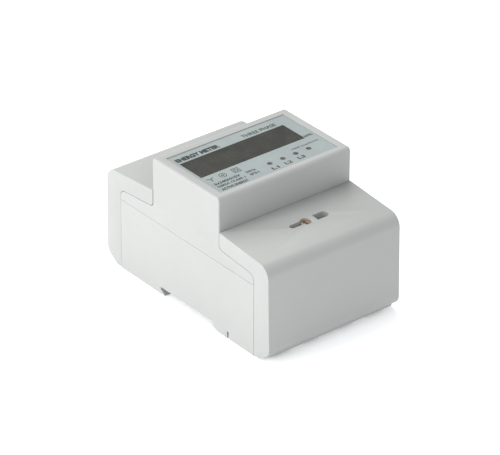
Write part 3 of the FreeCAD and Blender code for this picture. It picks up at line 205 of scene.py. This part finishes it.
# %% Scratches and tarnish for metal
def build_metal_marks():
    group, come, go = new_group("metal_marks", {"Scratch size mm": 0.6},
                                {"Height": "NodeSocketFloat", "Tarnish": "NodeSocketFloat",
                                 "Scratch": "NodeSocketFloat"})
    place = object_place(group)
    scale = texture_scale(group, come.outputs["Scratch size mm"])
    along = node(group, "ShaderNodeMapping", {"Vector": place, "Scale": (1.0, 0.12, 1.0)}).outputs["Vector"]
    lines = noise(group, along, scale, 5.0, Roughness=0.75)
    bloom = noise(group, place, 320.0, 6.0, Roughness=0.6)
    group.links.new(lines, go.inputs["Height"])
    group.links.new(ramp(group, bloom, 0.38, 0.66), go.inputs["Tarnish"])
    group.links.new(ramp(group, lines, 0.45, 0.6), go.inputs["Scratch"])
    return group


metal_marks = build_metal_marks()
print("group", metal_marks.name)

# %% [markdown]
# ## Materials
# A material here is one Principled BSDF with the groups above feeding its colour, roughness and normal.
# Values that are the same all over stay on the shader's own sockets. Plastics, metals and boards each have
# one short function, and the meter's finishes are made by calling it with their own colours.

# %% A blank material, and colour mixing
def blank(name, **constants):
    """A material with only its Principled BSDF; constants are that shader's own values."""
    material = bpy.data.materials.new(name)
    material.use_nodes = True
    shader = material.node_tree.nodes["Principled BSDF"]
    for label, value in constants.items():
        shader.inputs[label.replace("_", " ")].default_value = value
    return material, material.node_tree, shader


def use(tree, group, **values):
    """Place a node group and set its inputs."""
    item = tree.nodes.new("ShaderNodeGroup")
    item.node_tree = group
    for label, value in values.items():
        item.inputs[label.replace("_", " ")].default_value = value
    return item


def mix(tree, factor, first, second):
    """Mix two colours, each a socket or a plain (r, g, b)."""
    item = tree.nodes.new("ShaderNodeMix")
    item.data_type = "RGBA"
    sockets = {"Factor": 0, "A": 6, "B": 7}  # the Mix node's places for colours
    for label, value in (("Factor", factor), ("A", first), ("B", second)):
        socket = item.inputs[sockets[label]]
        if isinstance(value, bpy.types.NodeSocket):
            tree.links.new(value, socket)
        else:
            socket.default_value = value if label == "Factor" else (*value, 1.0)
    return item.outputs[2]


def between(tree, factor, low, high):
    """A value that runs from low to high as the factor runs from 0 to 1."""
    return node(tree, "ShaderNodeMapRange",
                {"Value": factor, "To Min": low, "To Max": high}).outputs["Result"]


def shade(colour, amount):
    """A colour made darker (under 1) or lighter (over 1)."""
    return tuple(min(1.0, part * amount) for part in colour)


print("materials can be made")

# %% Joining colour, roughness and relief to the shader
def surface(tree, shader, colour, roughness):
    """Colour and roughness that change over the surface."""
    tree.links.new(colour, shader.inputs["Base Color"])
    tree.links.new(roughness, shader.inputs["Roughness"])


def relief(tree, shader, height, strength, depth_mm):
    """Bump from a height, at a real depth."""
    bump = node(tree, "ShaderNodeBump", {"Height": height, "Strength": strength, "Distance": depth_mm * MM})
    tree.links.new(bump.outputs["Normal"], shader.inputs["Normal"])


print("surfaces can be joined")

# %% Plastic
def plastic(name, colour, rough=(0.42, 0.55), grain_mm=0.35, bump=0.12, drift=0.96, wear=0.5, dust=0.06,
            coat=0.0):
    """Moulded plastic: drifting tone, fine grain, rubbed edges and a trace of dust."""
    material, tree, shader = blank(name, Specular_IOR_Level=0.45, Coat_Weight=coat, Coat_Roughness=0.2)
    grain = use(tree, moulded_grain, Grain_size_mm=grain_mm)
    worn = use(tree, edge_wear, Amount=wear)
    dusty = use(tree, settled_dust, Amount=dust)
    tone = mix(tree, grain.outputs["Tone"], shade(colour, drift), colour)
    rubbed = mix(tree, worn.outputs["Wear"], tone, shade(colour, 1.12))
    powdered = mix(tree, dusty.outputs["Dust"], rubbed, (0.62, 0.60, 0.57))
    gloss = between(tree, grain.outputs["Gloss"], *rough)
    polish = between(tree, worn.outputs["Wear"], 0.0, 0.12)
    surface(tree, shader, powdered, calculate(tree, "SUBTRACT", gloss, polish))
    relief(tree, shader, grain.outputs["Height"], bump, 0.04)
    return material


SHELL_GREY = (0.390, 0.396, 0.390)
finishes = {
    "casing": plastic("light_grey_casing", SHELL_GREY),
    "cover": plastic("light_grey_cover", shade(SHELL_GREY, 0.99)),
    "latch_plastic": plastic("latch_grey", (0.40, 0.41, 0.42), grain_mm=0.5, wear=0.7),
    "pulse_plastic": plastic("terminal_black", (0.025, 0.027, 0.028), grain_mm=0.3, dust=0.12),
    "white_plastic": plastic("reflector_white", (0.78, 0.78, 0.76), rough=(0.5, 0.6)),
    "transformer": plastic("potted_core", (0.012, 0.012, 0.014), rough=(0.5, 0.7), grain_mm=1.2, bump=0.3),
    "chip_black": plastic("chip_epoxy", (0.016, 0.016, 0.017), rough=(0.55, 0.7), grain_mm=0.15),
    "capacitor_sleeve": plastic("capacitor_sleeve", (0.012, 0.018, 0.05), rough=(0.22, 0.32), coat=0.4),
    "film_yellow": plastic("capacitor_yellow", (0.52, 0.33, 0.02), rough=(0.25, 0.35), coat=0.2),
    "varistor_blue": plastic("varistor_blue", (0.01, 0.05, 0.26), rough=(0.2, 0.4), grain_mm=1.5, coat=0.3),
}
print(len(finishes), "plastics")

# %% [markdown]
# ## Screws, clamps, bars and boards
# The seal screws are brass that has dulled, the clamps and screws are zinc plated, and the bars are rolled
# copper. Bare metal could be one colour with one roughness, but real plating is scratched along its length
# and blooms in patches, and both show once light slides over it. The green boards are copper runs under a
# thin resist. Their runs come from a Brick and a Voronoi texture, which cost no geometry.

# %% Metal
def metal(name, colour, rough=(0.24, 0.45), tarnish=0.55, marks_mm=0.6, bump=0.15):
    """Bare or plated metal with fine scratches and dull patches."""
    material, tree, shader = blank(name, Metallic=1.0)
    marks = use(tree, metal_marks, Scratch_size_mm=marks_mm)
    worn = use(tree, edge_wear, Amount=0.5)
    dull = mix(tree, marks.outputs["Tarnish"], shade(colour, tarnish), colour)
    bright = mix(tree, worn.outputs["Wear"], dull, shade(colour, 1.3))
    surface(tree, shader, bright, between(tree, marks.outputs["Scratch"], rough[1], rough[0]))
    relief(tree, shader, marks.outputs["Height"], bump, 0.03)
    return material


finishes.update({
    "seal_brass": metal("dulled_brass", (0.62, 0.45, 0.33)),
    "plated_steel": metal("zinc_plate", (0.58, 0.58, 0.55), tarnish=0.75),
    "clamp_steel": metal("clamp_plate", (0.55, 0.55, 0.52), tarnish=0.7, marks_mm=1.0),
    "spring_steel": metal("spring_wire", (0.42, 0.42, 0.42), tarnish=0.8, marks_mm=0.2),
    "copper": metal("rolled_copper", (0.72, 0.32, 0.19), marks_mm=1.5),
    "tinned_pins": metal("tinned_wire", (0.66, 0.66, 0.63), tarnish=0.85, marks_mm=0.3),
})
print(len(finishes), "finishes with metals")

# %% Circuit board: resist over copper runs, which stand a little proud and look lighter
def circuit_board():
    material, tree, shader = blank("solder_resist", Coat_Weight=0.5, Coat_Roughness=0.12)
    place = object_place(tree)
    runs = node(tree, "ShaderNodeTexBrick", {"Vector": place, "Scale": 160.0, "Mortar Size": 0.09,
                                             "Brick Width": 0.9, "Row Height": 0.35}).outputs["Fac"]
    cells = node(tree, "ShaderNodeTexVoronoi", {"Vector": place, "Scale": 210.0},
                 distance="MANHATTAN").outputs["Distance"]
    track = calculate(tree, "MULTIPLY", runs, ramp(tree, cells, 0.3, 0.34))
    grain = use(tree, moulded_grain, Grain_size_mm=0.4, Tone_size_mm=8.0)
    resist = mix(tree, grain.outputs["Tone"], (0.006, 0.055, 0.022), (0.008, 0.075, 0.03))
    surface(tree, shader, mix(tree, track, resist, (0.02, 0.15, 0.06)),
            between(tree, grain.outputs["Gloss"], 0.25, 0.4))
    relief(tree, shader, track, 0.4, 0.04)
    return material


finishes["circuit_board"] = circuit_board()
print("circuit board ready")

# %% [markdown]
# ## The label, the display and the lights
# The label is a film with a pale blue-grey print under a faint texture. The display is a dark olive glass:
# unlit, it shows a soft mottling from its polariser. Over it lies a smoked window, nearly as dark as the
# glass, so that the digits below it are only just seen. A refracting glass would be truer but needs many
# light bounces, so the window is a dark film with some Alpha. The lights are smoked lenses that look nearly
# black when off.

# %% Label film
def label_film():
    material, tree, shader = blank("label_film", Specular_IOR_Level=0.4)
    grain = use(tree, moulded_grain, Grain_size_mm=0.18, Tone_size_mm=14.0)
    dusty = use(tree, settled_dust, Amount=0.08)
    tint = mix(tree, grain.outputs["Tone"], (0.262, 0.300, 0.302), (0.282, 0.322, 0.324))
    surface(tree, shader, mix(tree, dusty.outputs["Dust"], tint, (0.6, 0.6, 0.58)),
            between(tree, grain.outputs["Gloss"], 0.34, 0.46))
    relief(tree, shader, grain.outputs["Height"], 0.08, 0.02)
    return material


finishes["label"] = label_film()
print("label film ready")

# %% Display glass with its mottling, and the striped contact rubber beside it
def mottled_glass():
    material, tree, shader = blank("display_olive", Specular_IOR_Level=0.5, Coat_Weight=0.3,
                                   Coat_Roughness=0.15)
    place = object_place(tree)
    clouds = noise(tree, place, 300.0, 6.0, Roughness=0.65)
    specks = noise(tree, place, 2200.0, 2.0)
    tone = mix(tree, ramp(tree, clouds, 0.3, 0.7), (0.050, 0.048, 0.040), (0.074, 0.072, 0.060))
    speckled = mix(tree, between(tree, ramp(tree, specks, 0.55, 0.7), 0.0, 0.25), tone, (0.13, 0.12, 0.10))
    surface(tree, shader, speckled, between(tree, clouds, 0.25, 0.4))
    return material


def contact_rubber():
    material, tree, shader = blank("contact_rubber", Specular_IOR_Level=0.3)
    stripes = node(tree, "ShaderNodeTexWave", {"Vector": object_place(tree), "Scale": 2500.0}).outputs["Fac"]
    surface(tree, shader, mix(tree, stripes, (0.02, 0.02, 0.02), (0.62, 0.30, 0.30)),
            between(tree, stripes, 0.55, 0.75))
    return material


finishes["display_glass"] = mottled_glass()
finishes["contact_rubber"] = contact_rubber()
print("display ready")

# %% Smoked window and smoked lenses
def smoked_window():
    material, tree, shader = blank("clear_window", Alpha=0.84, Specular_IOR_Level=0.25)
    place = object_place(tree)
    marks = use(tree, moulded_grain, Grain_size_mm=0.8, Tone_size_mm=9.0)
    specks = noise(tree, place, 900.0, 4.0, Roughness=0.7)
    tone = mix(tree, marks.outputs["Tone"], (0.022, 0.024, 0.019), (0.040, 0.039, 0.031))
    speckled = mix(tree, between(tree, ramp(tree, specks, 0.5, 0.7), 0.0, 0.35), tone, (0.062, 0.056, 0.046))
    surface(tree, shader, speckled, between(tree, marks.outputs["Gloss"], 0.16, 0.30))
    return material


def smoked_lens():
    material, tree, shader = blank("smoked_lens", Specular_IOR_Level=0.5)
    grain = use(tree, moulded_grain, Grain_size_mm=0.3, Tone_size_mm=1.2)
    surface(tree, shader, mix(tree, grain.outputs["Tone"], (0.030, 0.022, 0.020), (0.075, 0.055, 0.050)),
            between(tree, grain.outputs["Gloss"], 0.18, 0.32))
    return material


finishes["clear_window"] = smoked_window()
finishes["light_lens"] = smoked_lens()
print(len(finishes), "finishes in all")

# %% [markdown]
# ## Give every model piece its finish
# The record says which finish each piece has. A model piece keeps its own mesh, and only the material in its
# slot is swapped.

# %% Swap the materials
slot_of_node = {entry["node"]: entry["material_slot"] for entry in frame["record"]["subparts"]}
for name, item in nodes.items():
    for place in item.material_slots:
        place.material = finishes[slot_of_node[name]]
print(len(nodes), "pieces finished")

# %% [markdown]
# ## Soft edges on the shells
# A moulded shell has no sharp edge: the tool leaves a radius of a few tenths of a millimetre, and that radius
# catches a thin line of light. The model's shells have only their large radii. The small ones could be faked
# with a Bevel node in the material, but the outline would stay sharp. Each shell is therefore copied, its
# loose triangles are merged and its flat faces joined, and a small Bevel is applied. The copy stands for the
# model's own piece.

# %% Helpers for meshes and objects
def merged(name, gap_mm):
    """A model piece opened for work, with its loose triangles joined up."""
    work = bmesh.new()
    work.from_mesh(nodes[name].data)
    bmesh.ops.remove_doubles(work, verts=work.verts, dist=gap_mm * MM)
    return work


def closed_mesh(work, name, smooth=False):
    """The work as a mesh, its faces shaded as they are or all smooth."""
    if smooth:
        for face in work.faces:
            face.smooth = True
    mesh = bpy.data.meshes.new(name)
    work.to_mesh(mesh)
    work.free()
    return mesh


def add_object(name, data):
    """A new object at the origin."""
    item = bpy.data.objects.new(name, data)
    bpy.context.collection.objects.link(item)
    return item


def evaluated_mesh(holder):
    """What the object's modifiers or text make, as a plain mesh; the object itself goes."""
    mesh = bpy.data.meshes.new_from_object(holder.evaluated_get(bpy.context.evaluated_depsgraph_get()))
    bpy.data.objects.remove(holder)
    return mesh


print("mesh helpers ready")

# %% Bevelled copies of the shells
FLAT_ANGLE, CORNER_ANGLE = math.radians(0.6), math.radians(35)
EDGE_STEPS = 3
SHELL_GAP_MM, WIRE_GAP_MM = 0.001, 0.0002  # corners closer than this are one corner
SHELL_EDGES_MM = {"lower_housing": 0.15, "upper_housing": 0.2, "front_terminal_cover": 0.25,
                  "rear_terminal_cover": 0.25, "rail_latch": 0.15}


def soft_shell(name, radius_mm):
    """A copy of a model piece with its sharp edges rounded."""
    work = merged(name, SHELL_GAP_MM)
    bmesh.ops.dissolve_limit(work, angle_limit=FLAT_ANGLE, verts=work.verts, edges=work.edges)
    sharp = add_object(f"{name}_blank", closed_mesh(work, f"{name}_shell", smooth=True))
    bevel = sharp.modifiers.new("soft_edges", "BEVEL")
    bevel.width = radius_mm * MM
    bevel.segments = EDGE_STEPS
    bevel.limit_method = "ANGLE"
    bevel.angle_limit = CORNER_ANGLE
    bevel.harden_normals = True
    bevel.use_clamp_overlap = True
    piece = add_object(f"{name}_shell", evaluated_mesh(sharp))
    piece.data.materials.clear()
    piece.data.materials.append(finishes[slot_of_node[name]])
    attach(piece, body_of_node[name])
    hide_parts(name)
    return piece


shells = [soft_shell(name, radius) for name, radius in SHELL_EDGES_MM.items()]
print("shells:", [(piece.name, len(piece.data.polygons)) for piece in shells])

# %% [markdown]
# ## The latch spring
# On the real meter the spring shortens as the latch is pulled. The model's own spring is rigid, so a merged
# copy stands for it, and its length as fitted is measured.


def latch_coil():
    """The spring's copy and its length as fitted."""
    mesh = closed_mesh(merged("latch_spring", WIRE_GAP_MM), "latch_coil", smooth=True)
    mesh.materials.append(finishes[slot_of_node["latch_spring"]])
    coil = add_object("latch_coil", mesh)
    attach(coil, body_of_node["latch_spring"])
    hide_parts("latch_spring")
    ends = [vertex.co.y for vertex in mesh.vertices]
    fixed_end, length = min(ends), max(ends) - min(ends)
    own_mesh(coil)
    return coil, length


spring, spring_length = latch_coil()
print(f"spring {spring_length / MM:.2f} mm long, {len(spring.data.polygons)} faces")

# %% [markdown]
# ## Printing on the label
# The label carries generic printing: the unit, the phase names, ratings and a few symbols. Print is usually
# an image on the surface, but an image can't be made sharp at every distance. Each word is therefore a text
# object that is turned into a mesh, laid on the label and joined with the rest, so that the printing is one
# thin piece of ink.

# %% Ink material
def ink(name, colour):
    material, tree, shader = blank(name, Specular_IOR_Level=0.35)
    grain = use(tree, moulded_grain, Grain_size_mm=0.12, Tone_size_mm=3.0)
    surface(tree, shader, mix(tree, grain.outputs["Tone"], colour, shade(colour, 1.8)),
            between(tree, grain.outputs["Gloss"], 0.4, 0.6))
    return material


black_ink = ink("black_ink", (0.012, 0.013, 0.014))
INK_THICKNESS = 0.02 * MM
label_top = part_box("label_plate")[1][2]
print("label top at", round(label_top / MM, 2), "mm")

# %% Words, as meshes
def words(text, left_mm, base_mm, height_mm, width_mm, weight):
    """Text laid flat on the label, stretched to a width; places are from the meter's middle."""
    curve = bpy.data.curves.new("words", "FONT")
    curve.body = text
    curve.offset = weight
    curve.extrude = 0.5  # any thickness: the mesh is scaled to the ink's own below
    mesh = evaluated_mesh(add_object("words", curve))
    low = [min(v.co[i] for v in mesh.vertices) for i in range(3)]
    high = [max(v.co[i] for v in mesh.vertices) for i in range(3)]
    size = [max(b - a, 1e-6) for a, b in zip(low, high)]
    fit = Matrix.Diagonal((width_mm * MM / size[0], height_mm * MM / size[1], INK_THICKNESS / size[2], 1))
    place = Matrix.Translation((left_mm * MM, base_mm * MM, label_top))
    mesh.transform(place @ fit @ Matrix.Translation((-low[0], -low[1], -low[2])))
    return mesh


# Each line: the words, their left end, base line, height and width in mm, and how far strokes are thickened.
PRINTING = [
    ("ENERGY METER", -29.4, 12.0, 2.9, 22.4, 0.065),
    ("THREE PHASE", 5.3, 12.1, 2.3, 17.9, 0.02),
    ("kWh", 25.9, -3.6, 1.8, 4.2, 0.03),
    ("1000 imp/kWh", 14.6, -9.0, 1.25, 14.4, 0.02),
    ("L1", -1.9, -17.0, 2.1, 3.6, 0.03),
    ("L2", 5.1, -16.8, 2.1, 3.6, 0.03),
    ("L3", 12.2, -16.6, 2.1, 3.6, 0.03),
    ("3x240/415V", -29.0, -12.5, 1.75, 13.6, 0.035),
    ("5(80)A CLASS 1", -29.0, -15.1, 1.75, 14.4, 0.035),
    ("ACTIVE ENERGY", -29.0, -17.7, 1.75, 13.8, 0.035),
    ("50Hz", -12.4, -12.4, 1.6, 5.0, 0.025),
    ("IP51", -12.0, -15.0, 1.6, 4.4, 0.025),
]
printed = [words(*line) for line in PRINTING]
print(len(printed), "lines of print")

# %% A closed band between two outlines
def outline_mesh(points_out, points_in):
    """A flat closed band between two outlines of the same number of points, as thin as the ink."""
    work = bmesh.new()
    rings = []
    for points in (points_out, points_in):
        for height in (0.0, INK_THICKNESS):
            rings.append([work.verts.new((x * MM, y * MM, label_top + height)) for x, y in points])
    out_low, out_high, in_low, in_high = rings
    count = len(points_out)
    for i in range(count):
        j = (i + 1) % count
        for a, b in ((out_low, out_high), (in_high, in_low), (out_high, in_high), (in_low, out_low)):
            work.faces.new((a[i], a[j], b[j], b[i]))
    bmesh.ops.recalc_face_normals(work, faces=work.faces)
    return closed_mesh(work, "symbol")


def circle_points(x, y, radius, count=32):
    return [(x + radius * math.cos(2 * math.pi * i / count), y + radius * math.sin(2 * math.pi * i / count))
            for i in range(count)]


def square_points(x, y, half):
    return [(x - half, y - half), (x + half, y - half), (x + half, y + half), (x - half, y + half)]


def bar_points(x, y, angle, length, width):
    """A narrow bar from a point outwards."""
    along = Vector((math.cos(angle), math.sin(angle)))
    side = Vector((-along.y, along.x)) * width / 2
    start, end = Vector((x, y)), Vector((x, y)) + along * length
    return [tuple(p) for p in (start - side, end - side, end + side, start + side)]


print("outlines ready")

# %% [markdown]
# Beside the words stand two rings, two frames and a three-branch star, in the manner of rating symbols. They
# could be drawn as curves with a thickness, but every curve would have to be turned into a mesh again. A
# closed band between two outlines is a mesh from the start, and one function draws all of them.

# %% Symbols: rings, frames and a three-branch star
LINE_MM = 0.32
RING, FRAME, STAR = (-21.2, -7.4), (-14.3, -7.4), (-27.3, -7.2)
RING_RADII_MM, FRAME_HALVES_MM = (1.75, 0.7), (1.75, 0.95)
BRANCH_MM, BRANCH_WIDTH_MM, BRANCH_CORE_MM = 1.9, 0.4, 0.02

symbols = [outline_mesh(circle_points(*RING, radius), circle_points(*RING, radius - LINE_MM))
           for radius in RING_RADII_MM]
symbols += [outline_mesh(square_points(*FRAME, half), square_points(*FRAME, half - LINE_MM))
            for half in FRAME_HALVES_MM]
for step in range(3):
    angle = math.radians(-90 + 120 * step)
    symbols.append(outline_mesh(bar_points(*STAR, angle, BRANCH_MM, BRANCH_WIDTH_MM),
                                bar_points(*STAR, angle, BRANCH_MM, BRANCH_CORE_MM)))
print(len(symbols), "symbols")

# %% Join the printing into one piece
def join_meshes(name, meshes, material, body):
    """One object from several meshes, riding on a body."""
    work = bmesh.new()
    for mesh in meshes:
        work.from_mesh(mesh)
    final = closed_mesh(work, name)
    final.materials.append(material)
    piece = add_object(name, final)
    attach(piece, body)
    return piece


label_print = join_meshes("label_print", printed + symbols, black_ink, "housing")
print("printing has", len(label_print.data.polygons), "faces")

# %% [markdown]
# ## Dormant digits in the display
# When a display of this kind is off, its segments can just be made out. Eight separate digits could be
# modelled, but they are all alike, so Geometry Nodes place them: one digit of seven segments is instanced
# along a line, and the count and pitch stay numbers that can be changed.

# %% One digit as seven six-sided segments
def digit_mesh(width_mm, height_mm, thick_mm):
    work = bmesh.new()
    half_w, half_h, half_t = width_mm / 2, height_mm / 2, thick_mm / 2
    gap = thick_mm * 0.15

    def segment(x, y, length, flat):
        reach = length / 2 - gap
        outline = [(-reach, 0), (-reach + half_t, -half_t), (reach - half_t, -half_t), (reach, 0),
                   (reach - half_t, half_t), (-reach + half_t, half_t)]
        corners = outline if flat else [(-v, u) for u, v in outline]
        low = [work.verts.new(((x + u) * MM, (y + v) * MM, 0)) for u, v in corners]
        high = [work.verts.new(((x + u) * MM, (y + v) * MM, INK_THICKNESS)) for u, v in corners]
        work.faces.new(high)
        work.faces.new(list(reversed(low)))
        for i in range(len(corners)):
            j = (i + 1) % len(corners)
            work.faces.new((low[i], low[j], high[j], high[i]))

    for level in (-half_h, 0, half_h):
        segment(0, level, width_mm, True)
    for side in (-half_w, half_w):
        for level in (-half_h / 2, half_h / 2):
            segment(side, level, half_h, False)
    return closed_mesh(work, "digit")


DIGIT_WIDTH_MM, DIGIT_HEIGHT_MM, SEGMENT_MM = 3.6, 7.2, 0.75
digit_piece = add_object("digit_pattern", digit_mesh(DIGIT_WIDTH_MM, DIGIT_HEIGHT_MM, SEGMENT_MM))
print("digit has", len(digit_piece.data.polygons), "faces")

# %% The node tree that sets the digits in a row
def row_tree(material, pattern):
    tree = bpy.data.node_groups.new("row_of_digits", "GeometryNodeTree")
    for label, kind, default in (("Count", "NodeSocketInt", 8), ("Pitch", "NodeSocketFloat", 0.006)):
        socket = tree.interface.new_socket(label, in_out="INPUT", socket_type=kind)
        socket.default_value = default
    tree.interface.new_socket("Start", in_out="INPUT", socket_type="NodeSocketVector")
    tree.interface.new_socket("Geometry", in_out="OUTPUT", socket_type="NodeSocketGeometry")
    come, go = tree.nodes.new("NodeGroupInput"), tree.nodes.new("NodeGroupOutput")
    step = node(tree, "ShaderNodeCombineXYZ", {"X": come.outputs["Pitch"]}).outputs["Vector"]
    line = node(tree, "GeometryNodeMeshLine", {"Count": come.outputs["Count"],
                                               "Start Location": come.outputs["Start"], "Offset": step})
    source = node(tree, "GeometryNodeObjectInfo", {"Object": pattern})
    copies = node(tree, "GeometryNodeInstanceOnPoints", {"Points": line.outputs["Mesh"],
                                                         "Instance": source.outputs["Geometry"]})
    real = node(tree, "GeometryNodeRealizeInstances", {"Geometry": copies.outputs["Instances"]})
    painted = node(tree, "GeometryNodeSetMaterial", {"Geometry": real.outputs["Geometry"],
                                                     "Material": material})
    tree.links.new(painted.outputs["Geometry"], go.inputs["Geometry"])
    return tree


segment_ink = ink("dormant_segments", (0.034, 0.033, 0.027))
digit_row = row_tree(segment_ink, digit_piece)
print("tree", digit_row.name)

# %% A plain mesh from the node tree
def grown(name, tree, values, material, body):
    """Evaluate a Geometry Nodes tree into a plain mesh that rides on a body."""
    holder = add_object(f"{name}_holder", bpy.data.meshes.new(f"{name}_seed"))
    modifier = holder.modifiers.new("nodes", "NODES")
    modifier.node_group = tree
    identifiers = {item.name: item.identifier for item in tree.interface.items_tree
                   if item.in_out == "INPUT"}
    for label, value in values.items():
        modifier[identifiers[label]] = value
    final = evaluated_mesh(holder)
    final.materials.clear()
    final.materials.append(material)
    final.polygons.foreach_set("material_index", [0] * len(final.polygons))
    piece = add_object(name, final)
    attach(piece, body)
    return piece


DIGITS = 8
FIRST_DIGIT, SPARE_PITCHES = 0.85, 0.7  # the first digit's place and the row's free room, in pitches
glass_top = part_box("display_glass")[1][2]
window_low, window_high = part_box("display_window")
pitch = (window_high[0] - window_low[0]) / (DIGITS + SPARE_PITCHES)
start = (window_low[0] + pitch * FIRST_DIGIT, (window_low[1] + window_high[1]) / 2, glass_top)
dormant = grown("dormant_digits", digit_row, {"Count": DIGITS, "Pitch": pitch, "Start": start},
                segment_ink, "housing")
bpy.data.objects.remove(digit_piece)
print("digits:", len(dormant.data.polygons), "faces")

# %% [markdown]
# ## Floor, light and camera
# The meter lies on a white light table, whose glow opens up the shadows near it. A large soft light from the
# left makes its side nearly white, the front stays in gentle shade, and an overhead light fills the tops.
# Small lamps would be brighter for their size, but they draw hard shadows. The camera looks down on the
# corner between the left side and the load end, from far away, so that parallel edges stay nearly parallel.

# %% Floor and backdrop
TABLE_GLOW = 0.28
FLOOR_HALF = 3.0


def white_floor():
    material, tree, shader = blank("studio_floor", Specular_IOR_Level=0.2,
                                   Emission_Color=(0.97, 0.99, 1.0, 1.0), Emission_Strength=TABLE_GLOW)
    grain = use(tree, moulded_grain, Grain_size_mm=1.5, Tone_size_mm=180.0)
    surface(tree, shader, mix(tree, grain.outputs["Tone"], (0.92, 0.92, 0.92), (0.94, 0.94, 0.94)),
            between(tree, grain.outputs["Gloss"], 0.7, 0.8))
    return material


floor_mesh = bpy.data.meshes.new("studio_floor")
floor_mesh.from_pydata([(x * FLOOR_HALF, y * FLOOR_HALF, cad_low[2]) for x, y in
                        ((-1, -1), (1, -1), (1, 1), (-1, 1))], [], [(0, 1, 2, 3)])
floor_mesh.materials.append(white_floor())
floor = add_object("studio_floor", floor_mesh)
print("floor", floor.name)

# %% Lights
LIT_POINT = Vector((0, 0, 0.03))


def soft_light(name, place, size, power, colour):
    """A square area light that looks at the meter."""
    light = bpy.data.lights.new(name, "AREA")
    light.shape = "SQUARE"
    light.size = size
    light.energy = power
    light.color = colour
    item = add_object(name, light)
    item.location = place
    item.rotation_euler = (LIT_POINT - Vector(place)).to_track_quat("-Z", "Y").to_euler()
    return item


lights = [
    soft_light("key_left", (-1.30, 0.30, 0.45), 1.0, 17.0, (1.0, 0.99, 0.99)),
    soft_light("overhead", (0.15, 0.60, 1.25), 1.2, 9.5, (1.0, 1.0, 0.95)),
]
world = bpy.data.worlds.new("studio_air")
bpy.context.scene.world = world
world.use_nodes = True
air = world.node_tree.nodes["Background"].inputs
air["Color"].default_value = (0.97, 0.99, 1.0, 1)
air["Strength"].default_value = 0.82
bpy.context.scene.view_settings.view_transform = "Standard"
print(len(lights), "lights")

# %% Camera
AZIMUTH, ELEVATION, ROLL = math.radians(-38.682), math.radians(30.250), math.radians(0.129)
DISTANCE, LENS = 1.4426, 246.7
AIM_HEIGHT, AIM_RIGHT, AIM_UP = 0.030, -0.000669, -0.001954

back = Vector((math.sin(AZIMUTH) * math.cos(ELEVATION), -math.cos(AZIMUTH) * math.cos(ELEVATION),
               math.sin(ELEVATION)))
right = Vector((0, 0, 1)).cross(back).normalized()
up = back.cross(right)
turned_right = right * math.cos(ROLL) + up * math.sin(ROLL)
turned_up = up * math.cos(ROLL) - right * math.sin(ROLL)
aim = Vector((0, 0, AIM_HEIGHT)) + turned_right * AIM_RIGHT + turned_up * AIM_UP
camera_data = bpy.data.cameras.new("camera")
camera_data.lens = LENS
camera_data.sensor_width = 36.0
camera_data.clip_end = 20.0
camera = add_object("camera", camera_data)
turn = Matrix((turned_right, turned_up, back)).transposed().to_4x4()
camera.matrix_world = Matrix.Translation(aim + back * DISTANCE) @ turn
bpy.context.scene.camera = camera
print("camera at", [round(v, 3) for v in camera.location])
